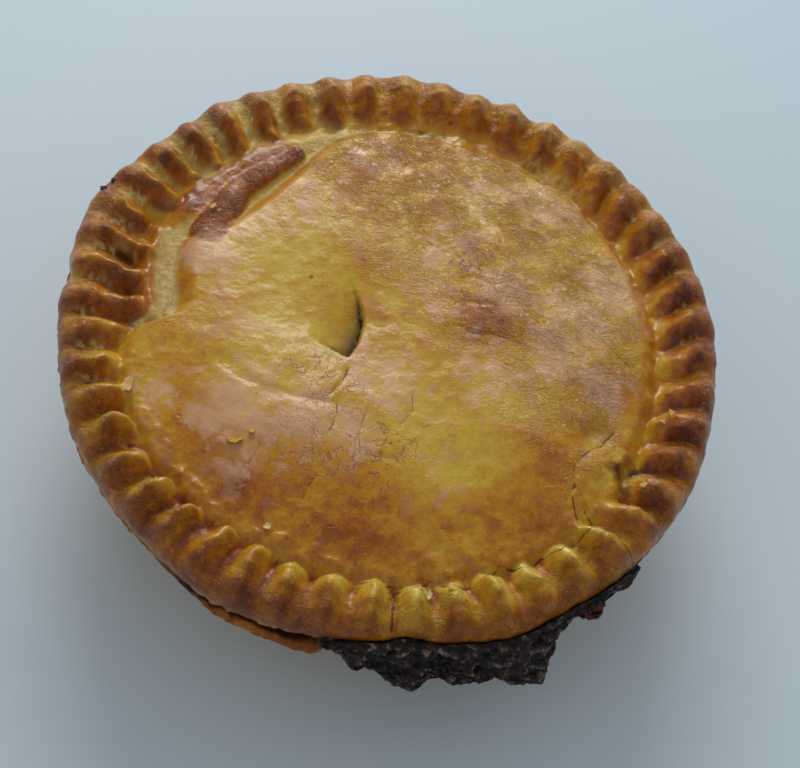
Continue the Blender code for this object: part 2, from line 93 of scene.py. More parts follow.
# drying cracks: width and depth of the widest, then the width of each and points along it
WIDEST_CRACK, CRACK_DEPTH = 0.34, 0.45
CRACKS = (
    (0.20, (-6.5, -12.6), (-6.8, -15.6), (-8.6, -18.2)),
    (0.10, (-7.0, -18.9), (-6.6, -22.0), (-7.2, -25.6)),
    (0.08, (-1.6, -20.0), (-2.2, -24.6), (-1.2, -28.7)),
    (0.08, (-9.7, -26.1), (-9.2, -30.7)),
    (0.08, (5.6, -15.1), (6.2, -18.0), (4.6, -21.6)),
    (0.08, (0.1, -28.6), (5.0, -28.2), (7.4, -30.0)),
    (0.10, (-18.3, -30.7), (-19.3, -34.3)),
    (0.12, (-8.2, -35.4), (-9.4, -39.8)),
    (0.07, (-28.4, -16.2), (-24.4, -18.4), (-19.0, -19.2), (-14.7, -19.8), (-7.9, -19.8)),
    (0.12, (10.0, 5.4), (13.0, 6.4), (18.0, 7.2)),
    (0.12, (11.0, 0.6), (14.0, -0.2), (18.0, 0.6), (22.8, 0.2)),
    (0.10, (10.2, 11.4), (12.6, 12.2), (15.8, 11.4), (18.6, 13.2)),
    (0.08, (9.6, 16.6), (11.4, 14.2), (10.2, 11.6)),
    (0.12, (37.9, 5.4), (40.4, 3.6), (43.4, 1.6)),
    (0.18, (35.4, -27.8), (36.2, -24.6), (35.4, -21.4), (37.0, -18.4)),
    (0.18, (36.2, -27.2), (37.5, -30.4)),
    (0.22, (37.0, -18.4), (39.4, -15.6), (41.2, -12.6)),
    (0.24, (9.5, -58.8), (9.7, -54.5), (9.4, -51.1), (11.3, -50.8), (12.9, -49.8), (13.9, -50.8)),
    (0.20, (12.9, -49.8), (14.1, -48.6)),
    (0.14, (3.3, -51.1), (5.9, -50.8), (8.6, -50.2)),
    (0.20, (17.2, -48.4), (20.1, -48.0), (22.6, -47.0), (25.4, -43.3)),
    (0.18, (27.5, -42.4), (30.3, -42.0), (32.6, -39.2)),
    (0.18, (32.8, -38.8), (35.5, -37.7), (37.5, -35.3), (40.6, -32.2)),
    (0.26, (43.9, -31.4), (45.9, -33.4), (48.2, -34.7)),
)
# centre, radius and strength: positive where the dome has browned more, negative where it stayed yellow
BROWNED = (
    (-8, 26, 9, 0.02), (-17, 26, 7, 0.05), (-20, 10, 10, -0.10), (-14, 0, 9, -0.06), (-20, -14, 8, -0.10),
    (20, -22, 10, -0.10), (6, -24, 8, -0.06), (16, -36, 8, -0.04), (24, 26, 11, -0.06), (8, 30, 9, -0.01),
    (31, -21, 7, 0.10), (-26, -22, 7, 0.03), (0, 40, 12, 0.09), (-4, 8, 12, 0.05), (24, 30, 9, 0.05),
    (15, 1, 6, 0.16), (11, 17, 4.5, 0.10), (16, 6, 6, 0.10), (21, 16, 4, 0.06), (-15, -33, 11, 0.11),
    (1, -36, 10, 0.10), (-27, -37, 8, 0.10), (31, -30, 8, 0.10), (39, -8, 7, 0.08), (17, -38, 3, 0.10),
    (-36, -6, 7, 0.04), (30, 2, 9, 0.04), (-20, -38, 4.5, 0.12), (-38, -16, 6, 0.04), (28, -42, 6, 0.10),
    (43, -2, 5, 0.10), (-31, -27, 8, 0.08), (-16, -45, 8, 0.06), (10, -46, 10, 0.08), (-2, -46, 8, 0.10),
    (-36, 2, 4, 0.05), (-7, 33, 8, 0.02), (24, -34, 6, 0.10),
)
# centre, radius and strength: painted sheen, pale pink patches that stand for the window's reflection in the
# glaze
PAINTED_SHEEN_SPOTS = (
    (-12, 36, 7, 0.5), (-35, 7, 6, 1.2), (-27, -8, 6, 0.4), (-4, -14, 8, 0.7), (-24, -24, 9, 1.1),
    (-12, -24, 8, 1.1), (-38, -24, 6, 0.7), (12, 33, 9, 0.7), (18, 12, 8, 0.8), (32, 10, 8, 1.1),
    (3, 12, 8, 0.6), (30, 0, 8, 1.0), (24, 34, 9, 0.9), (38, -4, 6, 1.0), (0, 32, 8, 0.3),
    (8, 20, 7, 0.6), (38, 18, 8, 1.1), (-20, 22, 6, 0.5), (-30, 15, 6, 0.5), (15, -4, 7, 0.6),
    (-4, -24, 7, 1.0), (20, -8, 8, 0.7), (-20, -32, 7, 0.8), (2, -14, 7, 0.9), (12, -30, 6, 0.5),
    (8, 2, 6, 0.5),
)
# browning of the border at each angle: outer part and inner head of the fingers, groove and its inner pocket,
# lip, and how far out the head's tone reaches; at the front the darker pockets between the heads are partly
# painted shade
BORDER_TONES = (
    (0, 0.68, 0.42, 0.53, 0.57, 0.66, 4), (30, 0.66, 0.46, 0.50, 0.56, 0.60, 3),
    (60, 0.56, 0.42, 0.56, 0.50, 0.52, 2.5), (85, 0.54, 0.44, 0.62, 0.48, 0.58, 2.5),
    (110, 0.60, 0.50, 0.56, 0.42, 0.66, 3), (130, 0.61, 0.48, 0.44, 0.38, 0.66, 3),
    (150, 0.61, 0.56, 0.50, 0.44, 0.70, 5), (175, 0.61, 0.62, 0.62, 0.66, 0.66, 8),
    (190, 0.60, 0.58, 0.66, 0.68, 0.70, 8), (203, 0.55, 0.38, 0.66, 0.62, 0.66, 4),
    (225, 0.52, 0.42, 0.70, 0.68, 0.64, 4), (240, 0.54, 0.48, 0.76, 0.75, 0.74, 4.5),
    (255, 0.56, 0.48, 0.74, 0.75, 0.74, 5.5), (270, 0.53, 0.42, 0.60, 0.68, 0.73, 6),
    (285, 0.49, 0.36, 0.54, 0.66, 0.70, 6.5), (310, 0.49, 0.32, 0.50, 0.60, 0.70, 6.5),
    (325, 0.54, 0.37, 0.54, 0.64, 0.66, 5.5), (340, 0.66, 0.44, 0.56, 0.66, 0.64, 4),
)
DOME_TONE, DOME_EDGE_TONE, LEFT_RIM_TONE, FOLD_TONE, BEHIND_FOLD_TONE = 0.47, 0.60, 0.62, 0.73, 0.71
# centre, radius and strength: dry flaked dough, gravy that has spat up at the right, and pinholes, painted in
# the gravy's dark brown as the shade inside them
FLAKED = ((39.0, -14.0, 1.5, 0.9), (37.6, -18.2, 1.0, 0.9), (-12.4, -11.8, 0.9, 0.9))
SMEARS = ((43.8, -19.2, 2.8, 0.75), (45.6, -22.4, 1.2, 1), (46.6, -18.2, 1.3, 1), (48.4, -16.3, 1.0, 1))
PINHOLE_SHADE = (
    (2.4, 50.8, 0.45, 1), (2.0, 47.9, 0.6, 1), (-1.7, 47.7, 0.7, 1), (-0.5, 47.4, 0.7, 1),
    (-2.8, 47.9, 0.5, 1), (-16.3, 5.7, 0.45, 2.2),
)
TORN_BY_FOLD, TORN_AT_LEFT = (-39.6, 26.7), (-39.8, -6.4)
# centre, half length and width, share of it where the plates begin to fade and end, and strength
CRACKLED = (
    (-2.0, -27.0, 20.0, 13.0, 0.0, 1.0, 1.0), (13.5, 13.5, 8.0, 8.0, 0.3, 1.2, 1.0),
    (-10.0, -16.0, 10.0, 7.0, 0.3, 1.2, 0.8),
)


def smooth(low, high, value):
    """0 below low, 1 above high, and an S-curve between."""
    t = np.clip((value - low) / (high - low), 0.0, 1.0)
    return t * t * (3.0 - 2.0 * t)


def fall(low, high, value):
    """1 below low, and 0 above high."""
    return 1.0 - smooth(low, high, value)


def plateau(value, low, high, soft):
    return smooth(low - soft, low + soft, value) * fall(high - soft, high + soft, value)


def bell(distance, width):
    return np.exp(-((distance / width) ** 2))


def spot(x, y, centre, radius):
    return bell(np.hypot(x - centre[0], y - centre[1]), radius)


def dots(x, y, table):
    """A table of soft spots, added up."""
    return sum(strength * spot(x, y, (px, py), size) for px, py, size, strength in table)


def sine(degrees):
    return np.sin(np.radians(degrees))


def polar(x, y):
    return np.hypot(x, y), np.degrees(np.arctan2(y, x)) % 360.0


def around(r, angle):
    return r * np.cos(np.radians(angle)), r * np.sin(np.radians(angle))


def by_angle(angle, table):
    """The table's value at each angle round the pie."""
    angles, values = zip(*table)
    return np.interp(angle, angles, values, period=360.0)


def near_segment(x, y, start, end):
    """Share of the way along the segment, the distance from it, and on which side."""
    run = np.subtract(end, start)
    along = np.clip(((x - start[0]) * run[0] + (y - start[1]) * run[1]) / (run @ run), 0.0, 1.0)
    off = np.hypot(x - start[0] - along * run[0], y - start[1] - along * run[1])
    side = np.sign(run[0] * (y - start[1]) - run[1] * (x - start[0]))
    return along, off, side


def wobble(angle, waves, size, seed):
    """A smooth uneven line round the pie: one sine for each number of waves."""
    draw = np.random.default_rng(seed)
    total = 0.0 * angle
    for count in waves:
        total = total + draw.uniform(0.5, 1.0) * sine(count * angle + draw.uniform(0.0, 360.0))
    return size * total / math.sqrt(len(waves))


def lumps(x, y, z, size, octaves=3, seed=0):
    """Cloudy unevenness from -1 to 1, whose largest lumps measure size."""
    shift = Vector((17.3 * seed, 5.1 * seed, 9.7 * seed))
    points = np.column_stack([x, y, z]) / size
    return np.array([noise.fractal(Vector(point) + shift, 1.0, 2.0, octaves) for point in points])


def mode(name):
    bpy.ops.object.mode_set(mode=name)


def last_made(name):
    """The piece that has just been added, under its name."""
    made = bpy.context.object
    made.name = made.data.name = name
    return made


def select_open_edges():
    bpy.ops.mesh.select_all(action="DESELECT")
    bpy.ops.mesh.select_non_manifold(
        extend=False, use_wire=False, use_multi_face=False, use_non_contiguous=False, use_verts=False
    )


def tower(name, rings, steps, doubled=()):
    """A closed body of rings: each is raised one step in Z, so a point's height tells which ring it is on."""
    bpy.ops.object.select_all(action="DESELECT")
    bpy.ops.mesh.primitive_circle_add(vertices=steps, radius=1.0, fill_type="TRIFAN")
    made = last_made(name)
    mode("EDIT")
    bpy.ops.mesh.select_mode(type="EDGE")
    for ring in range(rings):
        if ring == 0 or ring in doubled:
            select_open_edges()
        if ring in doubled:
            bpy.ops.mesh.subdivide(number_cuts=1)
            select_open_edges()
        bpy.ops.mesh.extrude_edges_move(TRANSFORM_OT_translate={"value": (0.0, 0.0, 1.0)})
    bpy.ops.mesh.merge(type="COLLAPSE")
    mode("OBJECT")
    return made


def points_of(made):
    at = np.empty(len(made.data.vertices) * 3)
    made.data.vertices.foreach_get("co", at)
    return at.reshape(-1, 3)


def ring_and_angle(made):
    """Ring number and angle of every point of a tower. The first pole is ring -1."""
    at = points_of(made)
    ring = np.round(at[:, 2]).astype(int)
    ring[(np.hypot(at[:, 0], at[:, 1]) < 0.3) & (ring == 0)] = -1
    return ring, np.degrees(np.arctan2(at[:, 1], at[:, 0])) % 360.0


def settle(made, x, y, z):
    """Puts the points in their places, in millimetres, with the faces outwards and smooth."""
    made.data.vertices.foreach_set("co", (np.column_stack([x, y, z]) * MM).ravel())
    made.data.update()
    bpy.ops.object.select_all(action="DESELECT")
    made.select_set(True)
    bpy.context.view_layer.objects.active = made
    mode("EDIT")
    bpy.ops.mesh.select_all(action="SELECT")
    bpy.ops.mesh.normals_make_consistent(inside=False)
    mode("OBJECT")
    bpy.ops.object.shade_smooth()


def paint(made, name, values):
    """Keeps a value for each point, for the material to read."""
    made.data.attributes.new(name, "FLOAT", "POINT").data.foreach_set("value", np.asarray(values, np.float32))


def lid_edge(angle):
    """Radius of the lid's lip."""
    edge = RIM_RADIUS + 0.0 * angle
    for centre, width, size in OUTLINE:
        away = np.abs(angle - centre)
        edge = edge + size * bell(np.minimum(away, 360.0 - away), width)
    return edge + wobble(angle, (53, 71, 97), 0.08, CRIMP_SEED)


def crimp_shift(angle, r):
    """How far the fingers stray from even spacing, in degrees."""
    drift = 1.75 * sine(angle + 48.0) + 0.36 * sine(2.0 * angle - 14.0) + 0.42 * sine(3.0 * angle + 44.0)
    straighter = 0.75 * plateau(angle, 130.0, 225.0, 15.0) * (50.0 - r)
    return drift + CRIMP_LEAN * sine(angle + 80.0) * (r - CRIMP_PIVOT + straighter)


def crimp_tip(angle):
    """Radius of the fingers' inner ends."""
    front = plateau(angle, 207.0, 318.0, 8.0)
    back = plateau(angle, 56.0, 112.0, 6.0)
    back_left = plateau(angle, 116.0, 160.0, 4.0)
    left = plateau(angle, 170.0, 194.0, 5.0)
    return CRIMP_TIP + 1.4 * front + 0.8 * back - 1.2 * back_left - 3.4 * left


def crimps(x, y):
    """Height of the fingers; how far a point is up one, past its inner end, and from the groove."""
    r, angle = polar(x, y)
    draw = np.random.default_rng(CRIMP_SEED)
    taller = draw.uniform(0.84, 1.12, CRIMPS)
    longer = draw.uniform(-0.7, 0.7, CRIMPS)
    place = (angle - crimp_shift(angle, r) - CRIMP_START) / (360.0 / CRIMPS)
    nearest = np.round(place).astype(int)
    width = CRIMP_WIDTH - 0.12 * plateau(angle, 60.0, 176.0, 14.0)
    across = 2.0 * (place - nearest) / width
    finger = nearest % CRIMPS
    half = np.maximum(math.pi * r / CRIMPS * width, 1.0)
    tip = crimp_tip(angle) + longer[finger]
    before_tip = np.maximum(tip + half - r, 0.0) / half
    away = np.minimum(np.hypot(across, before_tip), 1.0)
    front = plateau(angle, 200.0, 330.0, 8.0)
    right = plateau((angle + 90.0) % 360.0, 50.0, 150.0, 10.0)
    bump = (0.5 + 0.5 * np.cos(math.pi * away)) ** (0.8 + 0.35 * front - 0.2 * right)
    over_edge = np.maximum(plateau(angle, 262.0, 335.0, 10.0), 0.6 * plateau(angle, 222.0, 262.0, 8.0))
    fade = 1.0 - (0.82 - 0.5 * over_edge) * smooth(54.5, 58.5, r)
    blunt = np.maximum(plateau(angle, 165.0, 262.0, 8.0), 0.6 * plateau(angle, 106.0, 166.0, 8.0))
    sloping = 1.0 - (0.6 - 0.25 * front) * (1.0 - blunt) * fall(0.5, 6.5, r - tip)
    height = CRIMP_HEIGHT + CRIMP_FRONT * front
    return height * taller[finger] * bump * fade * sloping, bump, r - tip, (1.0 - np.abs(across)) * half


def near_path(x, y, path):
    """Share of the way along a path and distance from it."""
    best_off = np.full(np.shape(x), 99.0)
    best_along = np.zeros(np.shape(x))
    for leg, (start, end) in enumerate(zip(path, path[1:])):
        along, off, _ = near_segment(x, y, start, end)
        best_along = np.where(off < best_off, (leg + along) / (len(path) - 1), best_along)
        best_off = np.minimum(off, best_off)
    return best_along, best_off


def fold_height(x, y):
    along, off = near_path(x, y, FOLD)
    width = FOLD_HALF_WIDTH * (1.0 - 0.5 * along)
    return FOLD_HEIGHT * (1.0 - 0.5 * along) * np.maximum(1.0 - (off / width) ** 2, 0.0) ** 0.7


def vent(x, y):
    """How deep the stabbed flap is pushed in, and how far inside its cut edge a point is."""
    outline = VENT_HINGE + VENT_CUT
    start, end = (np.array(point) for point in VENT_HINGE)
    run = (end - start) / np.linalg.norm(end - start)
    reach = np.abs(run[0] * (y - start[1]) - run[1] * (x - start[0])) / VENT_WIDTH
    off = np.full(x.shape, 99.0)
    inside = np.zeros(x.shape, bool)
    for a, b in zip(outline, outline[1:] + outline[:1]):
        if (a, b) != VENT_HINGE:
            off = np.minimum(off, near_segment(x, y, a, b)[1])
        crosses = (a[1] > y) != (b[1] > y)
        slope = (b[0] - a[0]) / (b[1] - a[1])
        inside ^= crosses & (x < a[0] + slope * (y - a[1]))
    signed = np.where(inside, off, -off)
    return VENT_DEPTH * reach**1.7 * smooth(-0.2, 0.3, signed), signed


def lid_top(x, y):
    """Height of the lid's upper surface, without its finest unevenness."""
    r, angle = polar(x, y)
    edge = by_angle(angle, DOME_EDGE)
    front = plateau(angle, 199.0, 334.0, 8.0)
    left = plateau(angle, 112.0, 196.0, 8.0)
    shelf = SHELF_HEIGHT * plateau(angle, 122.0, 161.0, 4.0) * fall(46.0, 50.0, r)
    shelf = shelf * smooth(-1.0, 1.5, r - 42.3 + 0.105 * (angle - 125.0))
    floor = FLOOR_HEIGHT + FLOOR_RISE * smooth(47.0, 56.0, r)
    floor = floor + FLOOR_FRONT * front * fall(50.0, 54.0, r)
    floor = floor + FLOOR_LEFT * left * fall(45.0, 49.0, r)
    dome = DOME_HEIGHT - DOME_DROP * (r / 46.5) ** 2.4
    waves = 0.35 * np.sin(x / 9.0 + 1.0) * np.sin(y / 11.0) * fall(30.0, 46.0, r)
    inside = fall(edge - 3.4 + 1.6 * front, edge + 0.8, r)
    _, welt_off, _ = near_segment(x, y, WELT_START, WELT_END)
    rim = LEFT_RIM_HEIGHT * bell(near_path(x, y, LEFT_RIM)[1], LEFT_RIM_WIDTH)
    _, creased = near_path(x, y, CREASE)
    # the fingers and the fold melt into the dome where they meet it
    rises = (np.maximum((dome + waves - floor) * inside, 0.0), crimps(x, y)[0], fold_height(x, y), rim, shelf)
    marks = WELT_HEIGHT * bell(welt_off, WELT_WIDTH) - CREASE_DEPTH * bell(creased, CREASE_WIDTH)
    marks = marks + BLISTER_HEIGHT * spot(x, y, BLISTER_CENTRE, BLISTER_RADIUS)
    marks = marks - HOLLOW_DEPTH * spot(x, y, HOLLOW_CENTRE, HOLLOW_RADIUS)
    marks = marks - PIT_DEPTH * spot(x, y, PIT_CENTRE, PIT_RADIUS)
    return floor + sum(rise**4 for rise in rises) ** 0.25 + marks


# rings from the middle out over the top, down the lip, and back in underneath
top_rings = np.concatenate([np.arange(0.8, 42.0, 0.42), np.arange(42.0, LIP_START, 0.36)])
lip_turns = np.linspace(0.0, 90.0, 14)[1:]
foot_rings = np.array([0.35, 0.7, 1.0])
under_rings = np.array([54.0, SEAT_RADIUS, 34.0, 17.0])
ring_count = len(top_rings) + len(lip_turns) + len(foot_rings) + len(under_rings)
doubled = [int(np.argmax(top_rings * 2.0 * math.pi / count > 0.44)) for count in (96, 192, 384)]
lid = tower("glazed_lid", ring_count, 96, doubled)
ring, angle = ring_and_angle(lid)

# the top: points keep to the fingers as they near the border
radii = np.concatenate([[0.0, 0.4], top_rings, np.full(ring_count - len(top_rings), LIP_START)])
r = radii[np.clip(ring + 1, 0, len(radii) - 1)]
turned = angle + crimp_shift(angle, r) * smooth(36.0, 46.0, r)
x, y = around(r, turned)

# finer unevenness of the dough: the fingers stray a little, and dry places are flaky
r_top, angle_top = polar(x, y)
border = smooth(44.0, 47.5, r_top)
stray = border * fall(55.0, 57.0, r_top)
stray_x, stray_y = lumps(x, y, 0.0 * x, 5.0, 2, 7), lumps(x, y, 0.0 * x, 5.0, 2, 8)
strayed_x, strayed_y = x + 0.9 * stray * stray_x, y + 0.9 * stray * stray_y
finger_height, bump, past_tip, off_groove = crimps(strayed_x, strayed_y)
top = lid_top(strayed_x, strayed_y) + CRIMP_SHARPER * finger_height
vent_depth, vent_inside = vent(x, y)
dome_lumps = lumps(x, y, 0.0 * x, 7.0, 3, 1)
dough_lumps = lumps(x, y, 0.0 * x, 2.2, 3, 2)
flakes = lumps(x, y, 0.0 * x, 1.1, 3, 3)
foot_r = by_angle(angle_top, DOME_EDGE)
groove = border * fall(0.1, 0.55, bump) * smooth(-2.5, 0.5, past_tip)
groove = groove * fall(56.6, 57.6, r_top)
fold = fold_height(x, y) / FOLD_HEIGHT
trough = plateau(r_top - foot_r, -0.2, 4.0, 0.7) * plateau(angle_top, 108.0, 195.0, 3.0)
trough = trough * fall(0.02, 0.25, fold) * fall(0.1, 0.4, bump)
trough = trough * fall(46.0, 48.0, r_top)
dry = np.maximum(trough, 0.5 * groove * plateau(angle_top, 111.0, 150.0, 4.0))
dry_back = plateau(angle_top, 54.0, 70.0, 3.0) * plateau(r_top, 47.6, 50.4, 0.7) * (flakes > 0.0)
dry = np.maximum(dry, 0.6 * dry_back)
top = top - vent_depth + 0.20 * dome_lumps + (0.07 + 0.26 * border) * dough_lumps
top = top + (0.08 * dry + 0.10 * border) * flakes
hole = near_segment(x, y, *HOLE)[1]
top = top - HOLE_DEPTH * bell(hole, HOLE_HALF_WIDTH)

# painted shade and light on the border: sides that face the front, away from the window, are painted browner,
# and sides turned to the window a little paler, more so at the front
painted_shade_slope = (lid_top(strayed_x, strayed_y + 0.4) - lid_top(strayed_x, strayed_y - 0.4)) / 0.8

# cracks and tears, and lines of painted shade in the grooves at the front and along the vent's cut: signed
# distance from the nearest one, and how strongly it shows
crack_side = np.full(x.shape, 9.0)
crack_and_shade_line = np.zeros(x.shape)
ragged = 0.25 * lumps(x, y, 0.0 * x, 1.1, 2, 4)
for width, *path in CRACKS:
    for start, end in zip(path, path[1:]):
        along, off, side = near_segment(x, y, start, end)
        nearer = off < np.abs(crack_side)
        crack_side = np.where(nearer, off * side, crack_side)
        crack_and_shade_line = np.where(nearer, width * fall(1.0, 1.8, off), crack_and_shade_line)
# painted shade: dark lines down the valleys beside the fingers' heads at the front, drawn like cracks
creased = 0.16 * plateau(angle_top, 212.0, 334.0, 5.0) * plateau(past_tip + 1.5 * dome_lumps, 1.2, 4.0, 0.5)
nearer = (creased > 0.01) & (off_groove < np.abs(crack_side)) & (crack_and_shade_line < 0.05)
crack_side, crack_and_shade_line = np.where(nearer, off_groove, crack_side), np.where(nearer, creased, crack_and_shade_line)
# painted shade: a dark line along the vent's cut edge, where the slit opens
vent_edge_shade = WIDEST_CRACK * smooth(0.5, 1.5, vent_depth) * (vent_inside < 1.2)
nearer = (vent_edge_shade > 0.02) & (np.abs(vent_inside - 0.1) < np.abs(crack_side))
crack_side, crack_and_shade_line = np.where(nearer, vent_inside - 0.1, crack_side), np.where(nearer, vent_edge_shade, crack_and_shade_line)
crack_side = np.clip(crack_side + ragged, -3.0, 3.0)
top = top - CRACK_DEPTH * crack_and_shade_line / WIDEST_CRACK * bell(crack_side, 0.45)

# down the lip: the turned edge, then its upright foot
lip = np.clip(ring - len(top_rings), 0, len(lip_turns))
turn = np.concatenate([[0.0], lip_turns])[lip]
edge = lid_edge(angle_top)
low = SEAM_HEIGHT + LIP_FOOT
split = plateau(angle_top, SPLIT_FROM - 3.0, SPLIT_TO, 3.0) + bell(angle_top - 235.0, 3.0)
tatter = split * lumps(x, y, 0.0 * x, 2.4, 3, 5)
r = r + (edge - LIP_START) * sine(turn) * (lip > 0)
z = np.where(lip > 0, low + (top - low) * np.cos(np.radians(turn)), top)
foot = np.clip(ring - len(top_rings) - len(lip_turns), 0, len(foot_rings))
share = np.concatenate([[0.0], foot_rings])[foot]
droop = LIP_DROOP * plateau(angle_top, 216.0, 264.0, 4.0)
z = np.where(foot > 0, low - (LIP_FOOT + droop + 0.6 * tatter) * share, z)
r = np.where(foot > 0, r - 0.5 * share**2 + 0.25 * tatter, r)

# back in underneath
under = ring - len(top_rings) - len(lip_turns) - len(foot_rings)
under_r = under_rings[np.clip(under - 1, 0, len(under_rings) - 1)]
r = np.where(under > 0, under_r, r)
r = np.where(ring == ring_count, 0.0, r)
roof = SEAM_HEIGHT + (LID_ROOF - SEAM_HEIGHT) * fall(0.0, SEAT_RADIUS, r)
z = np.where(under > 0, roof, z)
side_lumps = lumps(*around(r, turned), z, 1.8, 3, 6)
r = r + 0.16 * side_lumps * (lip > 0) * (under <= 0)
settle(lid, *around(r, turned), z)

# how brown each place is: 0 raw, 0.5 golden, 1 nearly burnt
bake = DOME_TONE + 0.05 * dome_lumps + dots(x, y, BROWNED)
rimmed = plateau(angle_top, 350.0, 361.0, 6.0) + fall(184.0, 190.0, angle_top)
rimmed = rimmed * bell(r_top + 0.8 * dough_lumps - (foot_r - 0.6), 1.5) * (0.95 + 0.5 * dome_lumps)
bake = bake + (DOME_EDGE_TONE - bake) * rimmed
tone_angles, *columns = zip(*BORDER_TONES)
crest, head, hollow, pocket, lip_tone, reach = (
    np.interp(angle_top, tone_angles, column, period=360.0) for column in columns
)
outwards = smooth(reach - 3.0, reach + 1.5, past_tip + 0.8 * dough_lumps)
finger = head + (crest - head) * outwards
gap = pocket + (hollow - pocket) * outwards
border_tone = gap + (finger - gap) * smooth(0.0, 0.22, bump + 0.10 * dough_lumps + 0.05 * flakes)
# painted light on slopes that face the window, painted shade on those that face the front
palest_painted_light = -0.02 - 0.08 * plateau(angle_top, 262.0, 335.0, 8.0)
border_tone = border_tone + np.clip(0.14 * painted_shade_slope, palest_painted_light, 0.14) * smooth(-2.0, 0.5, past_tip)
over = r_top + 0.7 * dough_lumps + (edge - LIP_START) * sine(turn) * (lip > 0)
border_tone = border_tone + (lip_tone - border_tone) * smooth(56.6, 59.4, over)
at_front = plateau(angle_top, 205.0, 334.0, 4.0)
on_border = smooth(-0.4, 0.7, r_top + 0.9 * at_front * smooth(0.0, 0.3, bump) - foot_r)
bake = bake + (border_tone - bake) * on_border
behind_fold = plateau(angle_top, 126.0, 158.0, 3.0) * plateau(r_top, 42.0, 47.5, 1.0)
on_fold = smooth(0.05, 0.4, fold)
bake = bake + (FOLD_TONE - bake) * on_fold + (BEHIND_FOLD_TONE - bake) * behind_fold * (1.0 - on_fold)
bake = bake + (LEFT_RIM_TONE - bake) * bell(near_path(x, y, LEFT_RIM)[1], 1.0)
bake = bake + (0.05 + 0.03 * border) * dough_lumps
below = smooth(0.0, 70.0, turn)
bake = np.where(lip > 0, bake - 0.04 * below, bake)
bake = np.where(foot > 0, lip_tone - 0.02 - 0.08 * share, bake)
paint(lid, "bake", bake)

# how much each place shows raw, mealy dough
raw = dry * (0.75 + 0.5 * flakes) + 0.5 * bell(hole - HOLE_HALF_WIDTH, 0.35) * (1.0 + flakes)
raw = raw + 0.9 * bell(near_segment(x, y, *VENT_CRUMB)[1], 0.55) + 0.9 * spot(x, y, TORN_BY_FOLD, 1.3)
raw = raw + 0.8 * spot(x, y, TORN_AT_LEFT, 1.6) * (flakes > -0.1)
flaky = fall(0.02, 0.4, bump) * smooth(-0.05, 0.2, flakes) * border
raw = raw + 0.8 * flaky * plateau(angle_top, 124.0, 206.0, 6.0) * plateau(r_top, 51.5, 56.5, 1.0)
raw = raw + 0.7 * flaky * plateau(angle_top, 6.0, 62.0, 6.0) * plateau(r_top, 52.5, 56.5, 1.0)
raw = raw + dots(x, y, FLAKED) * smooth(-0.2, 0.1, flakes)
paint(lid, "raw", np.clip(raw + 0.5 * (split * tatter > 0.25) * (share > 0.6), 0.0, 1.0))
# painted sheen, on the dome only
painted_sheen_at = 0.0 * x
for px, py, size, strength in PAINTED_SHEEN_SPOTS:
    painted_sheen_at = np.maximum(painted_sheen_at, strength * spot(x, y, (px, py), size))
paint(lid, "painted_sheen", painted_sheen_at * fall(-0.4, 0.7, r_top - foot_r))
paint(lid, "crack_side", crack_side)
paint(lid, "crack_and_shade_line", crack_and_shade_line)
# gravy: dark brown, in the hollows more than on the fingers; the same colour in the pinholes and in the hole
# at the left is painted shade
gravy_and_hole_shade = dots(x, y, SMEARS) * (1.0 - 0.4 * smooth(0.2, 0.7, bump))
gravy_and_hole_shade = gravy_and_hole_shade + dots(x, y, PINHOLE_SHADE) + 0.8 * bell(hole, 0.5)
paint(lid, "gravy_and_hole_shade", np.clip(gravy_and_hole_shade + 0.35 * gravy_and_hole_shade * dough_lumps, 0.0, 1.0))
crackle = 0.0 * x
for px, py, half_length, half_width, whole, end, strength in CRACKLED:
    out = np.hypot((x - px) / half_length, (y - py) / half_width)
    crackle = np.maximum(crackle, strength * fall(whole, end, out))
paint(lid, "crackle", crackle)
wrinkle = 0.04 + 0.96 * smooth(-4.0, 34.0, y + 0.9 * x) * fall(44.0, 46.0, r_top)
wrinkle = np.maximum(wrinkle, 0.8 * np.maximum(smooth(52.0, 55.0, r_top), smooth(0.1, 0.5, fold)))
paint(lid, "wrinkle", wrinkle)
slit = 1.6 * bell(vent_inside - 0.1, 0.32) * smooth(0.3, 1.4, vent_depth) + spot(x, y, VENT_CORNER, 0.6)
sunk = 0.6 * smooth(0.8, 3.2, vent_depth) * smooth(-0.2, 0.3, vent_inside)
paint(lid, "shade", np.clip(sunk + slit, 0.0, 1.0))


def linear(hex_colour):
    """The linear colour of an sRGB hex value."""
    parts = [int(hex_colour[i : i + 2], 16) / 255.0 for i in (1, 3, 5)]
    return tuple(p / 12.92 if p <= 0.04045 else ((p + 0.055) / 1.055) ** 2.4 for p in parts) + (1.0,)


def plug(tree, node, inputs):
    """Each input is a value or the socket that feeds it."""
    for name, value in inputs.items():
        if isinstance(value, bpy.types.NodeSocket):
            tree.links.new(value, node.inputs[name])
        else:
            node.inputs[name].default_value = value


def add(tree, kind, inputs, **settings):
    """Adds a node with its settings."""
    made = tree.nodes.new("ShaderNode" + kind)
    for name, value in settings.items():
        setattr(made, name, value)
    plug(tree, made, inputs)
    return made


def ramp(tree, factor, stops):
    """A colour for each place along factor."""
    made = add(tree, "ValToRGB", {"Fac": factor})
    elements = made.color_ramp.elements
    elements[0].position, elements[0].color = stops[0][0], linear(stops[0][1])
    elements[1].position, elements[1].color = stops[-1][0], linear(stops[-1][1])
    for place, colour in stops[1:-1]:
        elements.new(place).color = linear(colour)
    return made.outputs["Color"]


def new_material(name):
    made = bpy.data.materials.new(name)
    made.use_nodes = True
    return made, made.node_tree, made.node_tree.nodes["Principled BSDF"]


